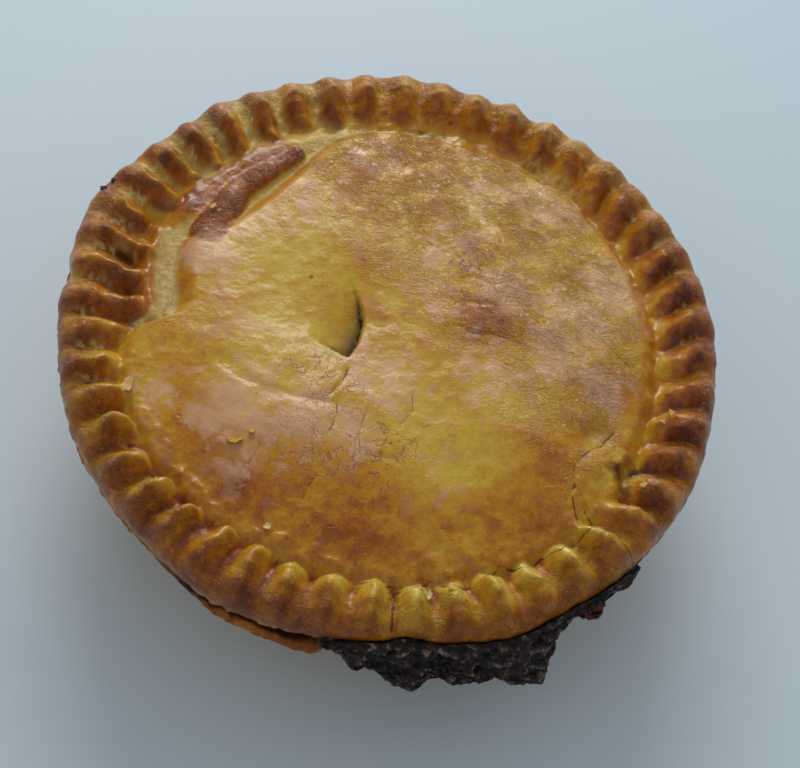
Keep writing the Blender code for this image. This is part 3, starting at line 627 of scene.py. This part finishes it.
def dress(made, material, slot, *nodes):
    """Gives the piece its finish, hides the solids that it stands for, and hangs it under the root body."""
    made.data.materials.clear()
    made.data.materials.append(material)
    if nodes:
        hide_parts(*nodes)
    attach(made, "root")


# egg-washed shortcrust: a thin hard skin of baked egg, glossy where it lies thick, over mealy brown dough
crust, tree, shader = new_material("egg_washed_shortcrust")
place = add(tree, "TexCoord", {}).outputs["Object"]


def value(tree, name):
    """The value painted on the mesh under this name."""
    return add(tree, "Attribute", {}, attribute_name=name).outputs["Fac"]


def scaled_noise(tree, vector, size, detail=4.0, rough=0.6):
    """Noise from about 0.3 to 0.7 whose patches measure size, in millimetres."""
    inputs = {"Vector": vector, "Scale": 1000.0 / size, "Detail": detail, "Roughness": rough}
    return add(tree, "TexNoise", inputs).outputs["Fac"]


def math_node(tree, operation, a, b=0.0, c=0.0):
    return add(tree, "Math", {0: a, 1: b, 2: c}, operation=operation).outputs[0]


def times(tree, a, b):
    return math_node(tree, "MULTIPLY", a, b)


def weigh(tree, base, *terms):
    """Base and each of the terms times its weight, added up."""
    for term, weight in terms:
        base = math_node(tree, "MULTIPLY_ADD", term, weight, base)
    return base


def fade(tree, value_in, low, high):
    """0 below low, 1 above high."""
    return add(tree, "MapRange", {"Value": value_in, 1: low, 2: high}).outputs[0]


def blend(tree, factor, a, b):
    return add(tree, "Mix", {"Factor": factor, 6: a, 7: b}, data_type="RGBA").outputs[2]


def relief(tree, height, depth, strength, under=None):
    """Fine relief, depth in millimetres, on top of the relief under it."""
    inputs = {"Height": height, "Distance": depth * MM, "Strength": strength}
    if under is not None:
        inputs["Normal"] = under
    return add(tree, "Bump", inputs).outputs[0]


# browning mottles over 7 mm, 2.5 mm and 0.5 mm
cloud = scaled_noise(tree, place, 7.0)
mottle = scaled_noise(tree, place, 2.5, 6.0)
speck = scaled_noise(tree, place, 0.5, 3.0)
tone = weigh(tree, value(tree, "bake"), (cloud, 0.16), (mottle, 0.24), (speck, 0.22))
tone = math_node(tree, "SUBTRACT", tone, 0.34)
# thin flakes of wash have lifted in places of 5 mm with crisp edges, and there are dark grains
flaked = fade(tree, scaled_noise(tree, place, 5.0, 9.0), 0.49, 0.53)
grain = fade(tree, scaled_noise(tree, place, 1.1), 0.64, 0.70)
tone = weigh(tree, tone, (flaked, 0.045), (grain, 0.07))
# crackle: plates of 2.4 mm with fine orange joints, bent by about a millimetre and broken up
PLATE_SIZE, PRICK_SPACING = 2.381, 2.632
bent = add(tree, "TexNoise", {"Vector": place, "Scale": 1000.0 / PLATE_SIZE, "Detail": 3.0}).outputs["Color"]
bent = add(tree, "VectorMath", {0: bent, "Scale": 4.0 * MM}, operation="SCALE").outputs[0]
bent = add(tree, "VectorMath", {0: bent, 1: place}, operation="ADD").outputs[0]
plates = add(tree, "TexVoronoi", {"Vector": bent, "Scale": 1000.0 / PLATE_SIZE}, feature="DISTANCE_TO_EDGE")
joint = plates.outputs["Distance"]
joint = math_node(tree, "SUBTRACT", 1.0, fade(tree, joint, 0.01, 0.04))
joint = times(tree, joint, fade(tree, mottle, 0.46, 0.56))
joint = times(tree, joint, value(tree, "crackle"))
tone = weigh(tree, tone, (joint, 0.32))
colour = ramp(tree, tone, (
    (0.0, "#E2CE86"), (0.2, "#D8B852"), (0.38, "#CCA02E"), (0.52, "#C08012"),
    (0.66, "#A2570A"), (0.80, "#72300A"), (1.0, "#36160A"),
))
# painted sheen: the window's reflection in the glaze, painted as pale pink patches with clear edges
painted_sheen = weigh(tree, value(tree, "painted_sheen"), (mottle, 1.3), (speck, 0.5), (flaked, 0.3))
painted_sheen = times(tree, fade(tree, painted_sheen, 1.3, 1.95), 0.58)
colour = blend(tree, painted_sheen, colour, linear("#E6B48C"))
# raw dough, gravy with the painted shade of the pinholes, and the shadow in the vent
raw_at = value(tree, "raw")
crumb = ramp(tree, speck, ((0.3, "#B29A48"), (0.7, "#E0CC84")))
colour = blend(tree, times(tree, raw_at, 0.85), colour, crumb)
gravy_and_hole_shade_mask = weigh(tree, value(tree, "gravy_and_hole_shade"), (mottle, 1.4))
gravy_and_hole_shade_mask = times(tree, fade(tree, gravy_and_hole_shade_mask, 0.9, 1.7), 0.85)
colour = blend(tree, gravy_and_hole_shade_mask, colour, linear("#40150D"))
shade = value(tree, "shade")
dusk = times(tree, fade(tree, shade, 0.0, 0.65), 0.8)
colour = blend(tree, dusk, colour, linear("#54543A"))
colour = blend(tree, fade(tree, shade, 0.65, 1.0), colour, linear("#14120C"))
# cracks are crisp lines a fifth of a millimetre wide; the same dark lines along the grooves at the front and
# along the vent's cut edge are painted shade
off = math_node(tree, "ABSOLUTE", value(tree, "crack_side"))
cleft = times(tree, value(tree, "crack_and_shade_line"), fade(tree, mottle, 0.36, 0.56))
cleft = fade(tree, math_node(tree, "SUBTRACT", cleft, off), 0.0, 0.10)
colour = blend(tree, times(tree, cleft, 0.85), colour, linear("#5A3412"))
# the hard coat of wash is missing on raw dough and gravy, in the vent and in cracks
gloss = weigh(tree, 0.10, (raw_at, 0.30), (mottle, 0.40))
bare = math_node(tree, "MAXIMUM", math_node(tree, "MAXIMUM", raw_at, shade), gravy_and_hole_shade_mask)
bare = math_node(tree, "MAXIMUM", bare, cleft)
washed = weigh(tree, 0.28, (bare, -0.28))
# the skin is wrinkled in short crisp ripples of about half a millimetre, dark in their troughs
drawn = add(tree, "VectorMath", {0: bent, 1: (0.45, 1.5, 1.0)}, operation="MULTIPLY").outputs[0]
ripples = scaled_noise(tree, drawn, 0.8)
wrinkled = times(tree, value(tree, "wrinkle"), fade(tree, cloud, 0.34, 0.60))
strokes = times(tree, fade(tree, ripples, 0.38, 0.34), wrinkled)
colour = blend(tree, times(tree, strokes, 0.40), colour, linear("#8A520E"))
# it is pricked with dashes a millimetre long where steam has come through
pricks = add(tree, "TexVoronoi", {"Vector": drawn, "Scale": 1000.0 / PRICK_SPACING})
prick = fade(tree, pricks.outputs["Distance"], 0.13, 0.07)
chosen = add(tree, "SeparateColor", {"Color": pricks.outputs["Color"]}).outputs["Red"]
chosen = times(tree, chosen, mottle)
prick = times(tree, prick, fade(tree, chosen, 0.28, 0.36))
prick = times(tree, prick, weigh(tree, 0.3, (wrinkled, 0.7)))
colour = blend(tree, times(tree, prick, 0.55), colour, linear("#7E4410"))
pores = scaled_noise(tree, place, 0.9, 6.0)
ripples = times(tree, fade(tree, ripples, 0.38, 0.62), wrinkled)
ripples = math_node(tree, "SUBTRACT", ripples, prick)
unbroken = math_node(tree, "SUBTRACT", 1.0, math_node(tree, "MAXIMUM", cleft, joint))
skin = relief(tree, pores, 0.3, 0.35)
skin = relief(tree, ripples, 0.32, 1.0, skin)
skin = relief(tree, unbroken, 0.3, 0.7, skin)
plug(tree, shader, {"Base Color": colour, "Roughness": gloss, "IOR": 1.40, "Normal": skin})
plug(tree, shader, {"Coat Weight": washed, "Coat Roughness": 0.2, "Coat Normal": skin})
dress(lid, crust, "glazed_crust", "pastry_lid")


# Pastry case. Thicker shortcrust pressed into a tapered mould, with a narrow flange that the lid is sealed
# to. It is unglazed, so it bakes matt and sandy. At the front left the flange has drooped and parted.

BASE_RADIUS, BASE_BEVEL = 43.5, 1.4
WALL_TOP_RADIUS, WALL_TOP = 54.0, 20.4
FLANGE_RADIUS, FLANGE_UNDER, FLANGE_TOP = 59.3, 25.0, 27.7
SEAT_HEIGHT = 25.2
SEAM_SAG, FLANGE_SAG, FLANGE_REACH = 2.4, 3.0, 1.6
SEAM_SAGS = (  # angle, and how far the flange's upper face has dropped from the lid
    (208, 0.0), (214, 1.5), (242, 1.5), (249, 3.8), (262, 3.8), (270, SEAM_SAG), (329, SEAM_SAG), (333, 0.0),
)
LEAK_FROM, LEAK_TO, LEAK_FLANGE_FROM, LEAK_CUT_RADIUS, LEAK_SEED = 269.0, 326.0, 313.0, 55.3, 11


def flange_edge(angle):
    """Radius of the flange: it juts out at the split, and is missing behind the burnt crust."""
    plain = FLANGE_RADIUS + wobble(angle, (3, 4, 7, 12), 0.25, LEAK_SEED)
    jut = FLANGE_REACH * smooth(238.0, 256.0, angle) * fall(284.0, 306.0, angle)
    missing = smooth(LEAK_FROM - 1.0, LEAK_FROM + 4.0, angle)
    missing = missing * fall(LEAK_FLANGE_FROM - 0.5, LEAK_FLANGE_FROM + 2.5, angle)
    return (plain + jut) * (1.0 - missing) + LEAK_CUT_RADIUS * missing


# the outline from the middle of the base, up the wall and round the flange, then in across the seam
wall = np.linspace(0.0, 1.0, 26)
flange = np.array([  # share of the way from wall to edge, height, and how much of each sag it follows
    (0.55, FLANGE_UNDER - 0.8, 1.0, 0.0), (0.8, FLANGE_UNDER - 0.35, 1.0, 0.0),
    (0.93, FLANGE_UNDER, 1.0, 0.0), (0.98, FLANGE_UNDER + 0.5, 0.8, 0.2),
    (1.0, FLANGE_UNDER + 1.1, 0.5, 0.5), (0.99, FLANGE_UNDER + 1.9, 0.2, 0.8),
    (0.95, FLANGE_TOP - 0.3, 0.0, 1.0), (0.9, FLANGE_TOP, 0.0, 1.0), (0.5, FLANGE_TOP, 0.0, 1.0),
    (-0.2, FLANGE_TOP, 0.0, 1.0),
])
between = np.linspace(0.0, len(flange) - 1.0, 3 * (len(flange) - 1) + 1)
flange = np.column_stack([np.interp(between, range(len(flange)), column) for column in flange.T])
base_rings = 3
case = tower("shortcrust_case", base_rings + len(wall) + len(flange) + 2, 720)
ring, angle = ring_and_angle(case)
up = np.clip(ring - base_rings, 0, len(wall) - 1)
r = BASE_RADIUS + (WALL_TOP_RADIUS - BASE_RADIUS) * wall[up] ** 0.9
r = r + wobble(angle, (2, 5, 8), 0.2, LEAK_SEED + 1)
z = BASE_BEVEL + (WALL_TOP - BASE_BEVEL) * wall[up]
on_base = ring < base_rings
base_radii = np.array([0.0, 20.0, 38.0, BASE_RADIUS - BASE_BEVEL])
r = np.where(on_base, base_radii[np.clip(ring + 1, 0, base_rings)], r)
z = np.where(on_base, 0.0, z)
out = ring - base_rings - len(wall)
on_flange = out >= 0
part = flange[np.clip(out, 0, len(flange) - 1)]
r = np.where(on_flange, WALL_TOP_RADIUS + (flange_edge(angle) - WALL_TOP_RADIUS) * part[:, 0], r)
under_sag = FLANGE_SAG * smooth(226.0, 252.0, angle) * fall(296.0, 318.0, angle)
sagged = part[:, 1] - part[:, 2] * under_sag - part[:, 3] * by_angle(angle, SEAM_SAGS)
z = np.where(on_flange, sagged, z)
last = out >= len(flange)
r = np.where(last, np.where(out == len(flange), SEAT_RADIUS - 0.6, 30.0), r)
z = np.where(last, SEAT_HEIGHT - 0.3, z)
r = np.where(ring == ring.max(), 0.0, r)
# sandy, slightly blistered sides, and a crumbling edge
rough = lumps(*around(r, angle), z, 3.0, 4, 8)
crumbling = lumps(*around(r, angle), z, 1.2, 3, 9)
edge_zone = on_flange & ~last & (part[:, 0] > 0.5) & (part[:, 3] < 0.9)
push = np.where(on_base | last, 0.0, 0.12 * rough) + np.where(edge_zone, 0.22 * crumbling + 0.25 * rough, 0.0)
settle(case, *around(r + push, angle), z)
tone = 0.44 + 0.16 * smooth(18.0, 25.0, z) + 0.10 * rough
# the flange is painted nearly black where it lies inside the split, under the lid
dark_in_split = plateau(angle, 243.0, 268.0, 5.0) * smooth(-0.4, 0.5, 59.8 + 0.6 * rough - r) * (z > 22.0)
scorched = 0.10 * plateau(angle, 236.0, 275.0, 6.0)
paint(case, "bake", tone + scorched * (z > 22.0) + (0.98 - tone) * dark_in_split)

# shortcrust baked without egg: matt, sandy, golden brown where it touched the mould
baked, tree, shader = new_material("plain_baked_shortcrust")
place = add(tree, "TexCoord", {}).outputs["Object"]
mottle = scaled_noise(tree, place, 3.846, 5.0)
speck = scaled_noise(tree, place, 0.6667, 2.0, 0.5)
tone = weigh(tree, value(tree, "bake"), (mottle, 0.30), (speck, 0.16))
tone = math_node(tree, "SUBTRACT", tone, 0.23)
colour = ramp(tree, tone, (
    (0.0, "#E6C882"), (0.3, "#D6A84A"), (0.5, "#C08620"),
    (0.7, "#9A5810"), (0.9, "#5A2409"), (1.0, "#3A1008"),
))
# sand-like crumb of just under a millimetre
skin = relief(tree, scaled_noise(tree, place, 0.9091, 5.0, 0.7), 0.35, 0.6)
plug(tree, shader, {"Base Color": colour, "Roughness": 0.62, "IOR": 1.35, "Normal": skin})
dress(case, baked, "baked_case", "pastry_case")


# Filling. Minced meat and potato in gravy lies under the lid. At the front it has boiled out through the
# seam, run down in lumps and layers, and burnt to a black crust with rusty edges.

# angle and width of each drip, and how much further it hangs and stands out than the rest
DRIPS = ((283.5, 5.0, 5.2, 0.9), (293.5, 5.0, 5.0, 1.2), (303.0, 4.5, 9.0, 3.2))
CRUST_FROM, CRUST_TO = 247.0, LEAK_TO
CRUST_DEPTH, CRUST_REACH, COVER = 7.0, 1.2, 1.5


def crust_outline(angle):
    """Radius and height of the crust's corners: tongue, cover over the lip, outside, foot, back."""
    squeezed = smooth(LEAK_FLANGE_FROM - 9.0, LEAK_FLANGE_FROM - 1.5, angle)
    body = smooth(LEAK_FROM + 1.0, LEAK_FROM + 6.0, angle) * (1.0 - squeezed)
    shown = smooth(LEAK_FROM - 2.0, LEAK_FROM + 1.0, angle)
    top = SEAM_HEIGHT - 0.3
    under = FLANGE_TOP - SEAM_SAG + 0.6
    depth, reach = CRUST_DEPTH, CRUST_REACH
    for centre, width, deeper, further in DRIPS:
        depth = depth + deeper * bell(angle - centre, width)
        reach = reach + further * bell(angle - centre, width)
    edges = [wobble(angle, (31, 47, 71), size, LEAK_SEED + n) for n, size in enumerate((0.3, 0.5, 0.5, 0.9))]
    foot = under - 0.3 + (SEAM_HEIGHT - depth + edges[3] - under + 0.3) * body
    out = RIM_RADIUS + 0.3 + reach * np.maximum(body, 0.5) - 1.4 * smooth(LEAK_TO - 8.0, LEAK_TO, angle)
    out = out + 1.6 * bell(angle - 314.5, 1.7)
    out = out * shown + 56.6 * (1.0 - shown)
    lip = lid_edge(angle) + 0.35
    cover = COVER * plateau(angle, LEAK_FROM + 3.0, LEAK_TO - 3.0, 3.0)
    cover = cover + 0.3 * edges[0] * shown + 0.9 * bell(angle - 311.0, 8.0)
    lip = lip * shown + out * (1.0 - shown)
    out = np.maximum(out, lip + 0.5 * shown)
    inner = LEAK_CUT_RADIUS + 0.4
    drop = under - foot
    corners = (
        (SEAT_RADIUS - 6.0, top - 0.1),
        (inner - 1.0, top),
        (lip, top),
        (lip + 0.05, top + cover),
        (lip + 0.5 * shown, top + cover),
        (out + edges[0] * shown, 0.75 * top + 0.25 * foot),
        (out + (0.3 + edges[1]) * body, 0.5 * (top + foot)),
        (out - 0.4 + edges[2] * body, foot + 0.22 * (top - foot)),
        (out - 1.5, foot),
        (np.minimum(inner + 2.0, out - 1.8), foot + 0.2 * drop),
        (np.minimum(inner + 0.6, out - 2.0), under - 0.5 * drop),
        (np.minimum(inner, out - 2.2), under),
        (SEAT_RADIUS - 6.0, SEAT_HEIGHT + 0.4),
    )
    return np.array([(r + 0.0 * angle, z + 0.0 * angle) for r, z in corners])


# a small ring of points, swept round the pie's axis and then pulled to the outline
ROUND, SWEEP, SWEEP_RADIUS = 150, 520, 5.0
bpy.ops.object.select_all(action="DESELECT")
bpy.ops.mesh.primitive_circle_add(
    vertices=ROUND, radius=1.0, location=(SWEEP_RADIUS, 0.0, 0.0), rotation=(math.radians(90.0), 0.0, 0.0)
)
crusted = last_made("burnt_filling")
bpy.ops.object.transform_apply(location=True, rotation=True)
mode("EDIT")
bpy.ops.mesh.select_all(action="SELECT")
bpy.ops.mesh.spin(steps=SWEEP, angle=math.radians(180.0), center=(0.0, 0.0, 0.0), axis=(0.0, 0.0, 1.0))
bpy.ops.mesh.select_mode(type="EDGE")
select_open_edges()
bpy.ops.mesh.edge_face_add()
mode("OBJECT")
at = points_of(crusted)
share = np.degrees(np.abs(np.arctan2(at[:, 1], at[:, 0]))) / 180.0
angle = CRUST_FROM + (CRUST_TO - CRUST_FROM) * share
turned = np.degrees(np.arctan2(at[:, 2], np.hypot(at[:, 0], at[:, 1]) - SWEEP_RADIUS)) % 360.0
rs, zs = crust_outline(angle).transpose(1, 0, 2)
CORNERS, FOOT = len(rs), 8
# how far round the ring each corner comes: most of the points go to the outside
knots = np.array([0, 12, 24, 36, 50, 90, 135, 185, 225, 255, 285, 310, 335, 360])
side_at = np.clip(np.searchsorted(knots, turned, side="right") - 1, 0, CORNERS - 1)
mix = (turned - knots[side_at]) / (knots[side_at + 1] - knots[side_at])
row = np.arange(len(angle))
nxt = (side_at + 1) % CORNERS
r = rs[side_at, row] * (1.0 - mix) + rs[nxt, row] * mix
z = zs[side_at, row] * (1.0 - mix) + zs[nxt, row] * mix
x, y = around(r, angle)
shown = plateau(angle, LEAK_FROM, LEAK_TO - 1.5, 2.0) * smooth(0.45, 1.2, r - lid_edge(angle))
# lumps of mince of 2 to 3 mm, thin layers of dried gravy drawn out along the rim, and a ragged foot
arc = np.radians(angle) * RIM_RADIUS
big = lumps(x, y, z, 3.0, 3, 12)
fine = lumps(x, y, z, 0.9, 3, 13)
drawn = 1.0 - 2.0 * np.abs(lumps(0.22 * arc, r, 1.6 * z, 1.5, 3, 14))
foot_zone = fall(0.5, 4.5, z - zs[FOOT, row])
push = shown * (0.8 * big + 0.35 * fine + 1.2 * drawn * (1.0 - 0.6 * foot_zone))
tear = shown * (foot_zone * (1.7 * fine + 1.0 * big) + (1.0 - foot_zone) * 0.4 * fine)
settle(crusted, *around(r + push, angle), z + tear)
thin_end = plateau(angle, 268.0, 273.5, 2.0) + plateau(angle, 312.0, 330.0, 2.0)
paint(crusted, "layer_highlight", drawn)
paint(crusted, "rust", np.clip(foot_zone * 0.7 + 0.8 * fine + 0.5 * thin_end, 0.0, 1.0) * shown)

# carbonised gravy and mince: black-brown, glazed in places, with rusty red edges
burnt, tree, shader = new_material("burnt_gravy_crust")
place = add(tree, "TexCoord", {}).outputs["Object"]
# char in lumps of 1.6 mm, with a painted highlight along the ridges of the drawn-out layers
char = scaled_noise(tree, place, 1.613, 6.0, 0.58)
char = weigh(tree, char, (value(tree, "layer_highlight"), 0.12))
colour = ramp(tree, char, ((0.36, "#17110F"), (0.52, "#271E1A"), (0.64, "#42322B"), (0.76, "#94827A")))
rust = fade(tree, times(tree, value(tree, "rust"), char), 0.28, 0.46)
colour = blend(tree, rust, colour, linear("#6A2F1B"))
gloss = add(tree, "MapRange", {"Value": char, 1: 0.40, 2: 0.70, 3: 0.50, 4: 0.20}).outputs[0]
grit = scaled_noise(tree, place, 0.5556, 4.0, 0.7)
skin = relief(tree, grit, 0.8, 0.5, relief(tree, char, 1.6, 1.0))
plug(tree, shader, {"Base Color": colour, "Roughness": gloss, "IOR": 1.5, "Normal": skin})
dress(crusted, burnt, "burnt_filling", "filling")


# Crumbs. Flakes of shortcrust a third of a millimetre thick, broken from the lid's edge, lie on the lid. Two
# lumps of burnt gravy are stuck in its border at the left.

CRUMB_THICKNESS, SPECK_THICKNESS = 0.35, 0.6
CRUMBS = (  # x, y, length, width, turn, lift above the lid's plain surface, and browning
    (-43.2, -23.0, 3.1, 2.2, 70, 0.3, 0.12), (-22.6, -30.6, 2.8, 2.0, 10, 0.3, 0.42),
    (-20.2, -28.6, 1.5, 1.1, 60, 0.3, 0.36), (-13.8, -44.9, 1.5, 1.2, 30, 0.3, 0.05),
    (15.0, -50.6, 2.2, 1.3, 80, 0.5, 0.08), (13.0, -50.2, 1.3, 0.9, 20, 0.5, 0.1),
    (18.6, -49.4, 1.5, 0.8, 150, 0.4, 0.1), (51.6, -5.4, 2.4, 1.4, 150, 0.5, 0.3),
    (50.2, -7.2, 1.5, 1.0, 20, 0.5, 0.25), (-36.8, 17.4, 1.6, 1.0, 60, 0.6, 0.2),
    (48.0, -21.8, 1.6, 1.0, 30, 0.5, 0.2),
)


def broken_flakes(name, spots, thickness, seed):
    """Thin uneven plates, slightly cupped, in one mesh. Each spot is middle, length, width and turn."""
    draw = np.random.default_rng(seed)
    bpy.ops.object.select_all(action="DESELECT")
    for number in range(len(spots)):
        if number == 1:
            mode("EDIT")
        bpy.ops.mesh.primitive_cylinder_add(vertices=12, radius=1.0, depth=1.0, end_fill_type="TRIFAN")
    mode("OBJECT")
    made = last_made(name)
    at = points_of(made).reshape(len(spots), -1, 3)
    for flake, (middle, length, width, turn) in zip(at, spots):
        across, level = flake[:, :2].copy(), flake[:, 2].copy()
        corner = np.round(np.degrees(np.arctan2(across[:, 1], across[:, 0])) / 30.0).astype(int) % 12
        across *= draw.uniform(0.65, 1.15, 12)[corner][:, None] * (0.5 * length, 0.5 * width)
        cosine, sinus = math.cos(math.radians(turn)), math.sin(math.radians(turn))
        flake[:, 0] = middle[0] + across[:, 0] * cosine - across[:, 1] * sinus
        flake[:, 1] = middle[1] + across[:, 0] * sinus + across[:, 1] * cosine
        tilt = draw.uniform(-0.25, 0.25, 2)
        cup = 0.10 * (across**2).sum(1) + draw.uniform(-0.12, 0.12, 12)[corner]
        flake[:, 2] = middle[2] + thickness * level + across @ tilt + cup
    made.data.vertices.foreach_set("co", (at * MM).ravel())
    made.data.update()
    bpy.ops.object.shade_flat()
    return made


spots = []
for x, y, length, width, turn, lift, _ in CRUMBS:
    height = float(lid_top(np.array([x]), np.array([y]))[0])
    spots.append(((x, y, height + lift), length, width, turn))
crumbs = broken_flakes("pastry_crumbs", spots, CRUMB_THICKNESS, 21)
paint(crumbs, "bake", np.repeat([crumb[-1] for crumb in CRUMBS], len(crumbs.data.vertices) // len(CRUMBS)))
# the same dough as the case
dress(crumbs, baked, "baked_case")

SPECKS = (((-57.2, 18.6, 31.6), 1.4, 0.9, 20), ((-56.1, 20.6, 31.8), 0.9, 0.6, 60))
specks = broken_flakes("burnt_specks", SPECKS, SPECK_THICKNESS, 22)
dress(specks, burnt, "burnt_filling")


# Floor, light and camera. A plain pale surface under soft daylight from behind, and a camera that looks
# down at the front of the pie, turned a little about its own axis.

bpy.ops.object.select_all(action="DESELECT")
bpy.ops.mesh.primitive_plane_add(size=3.0)
floor = last_made("floor")
pale, tree, shader = new_material("pale_floor")
plug(tree, shader, {"Base Color": linear("#CAD6DC"), "Roughness": 0.5, "IOR": 1.45})
floor.data.materials.append(pale)

scene = bpy.context.scene
world = bpy.data.worlds.new("soft_daylight")
scene.world = world
world.use_nodes = True
tree = world.node_tree
# brighter towards the window than behind the camera
towards = add(tree, "TexCoord", {}).outputs["Generated"]
towards = add(tree, "SeparateXYZ", {"Vector": towards}).outputs["Y"]
strength = add(tree, "MapRange", {"Value": towards, 1: -1.0, 2: 1.0, 3: 0.44, 4: 0.76}).outputs[0]
# the room above is dim, so that only the window shows in the glaze
glossy = add(tree, "LightPath", {}).outputs["Is Glossy Ray"]
seen = add(tree, "MapRange", {"Value": towards, 1: 0.5, 2: 0.95, 3: 0.35, 4: 0.8}).outputs[0]
glossy = add(tree, "Mix", {"Factor": glossy, 2: 1.0, 3: seen}).outputs[0]
strength = times(tree, strength, glossy)
plug(tree, tree.nodes["Background"], {"Color": linear("#D5DEE8"), "Strength": strength})


def soft_light(name, place, size, power, colour):
    """A square panel of light that faces the middle of the pie. Place and size are in metres."""
    made = bpy.data.lights.new(name, "AREA")
    made.size = size
    made.energy = power
    made.color = linear(colour)[:3]
    lamp = bpy.data.objects.new(name, made)
    scene.collection.objects.link(lamp)
    lamp.location = place
    lamp.rotation_euler = (Vector((0.0, 0.0, 0.03)) - Vector(place)).to_track_quat("-Z", "Y").to_euler()


soft_light("window", (-0.16, 0.82, 0.48), 0.5, 5.8, "#F5F7FA")
soft_light("room", (-0.2, -0.7, 0.8), 0.9, 0.7, "#FFFAF2")

CAMERA_AT = (0.0, -246.49, 392.48)
CAMERA_DOWN, CAMERA_ASIDE, CAMERA_ROLL = 56.742, 0.757, -12.671
CAMERA_PIXELS = 2439.3  # focal length over an image 800 wide
down, aside, roll = (math.radians(a) for a in (CAMERA_DOWN, CAMERA_ASIDE, CAMERA_ROLL))
ahead = Vector((math.sin(aside) * math.cos(down), math.cos(aside) * math.cos(down), -math.sin(down)))
level = Vector((math.cos(aside), -math.sin(aside), 0.0))
raised = level.cross(ahead)
right = math.cos(roll) * level - math.sin(roll) * raised
upward = math.sin(roll) * level + math.cos(roll) * raised
lens = bpy.data.cameras.new("camera")
lens.sensor_width = 36.0
lens.lens = CAMERA_PIXELS * 36.0 / 800.0
lens.clip_start = 0.01
camera = bpy.data.objects.new("camera", lens)
scene.collection.objects.link(camera)
camera.location = [c * MM for c in CAMERA_AT]
camera.rotation_euler = Matrix((right, upward, -ahead)).transposed().to_euler()
scene.camera = camera
scene.view_settings.view_transform = "Standard"
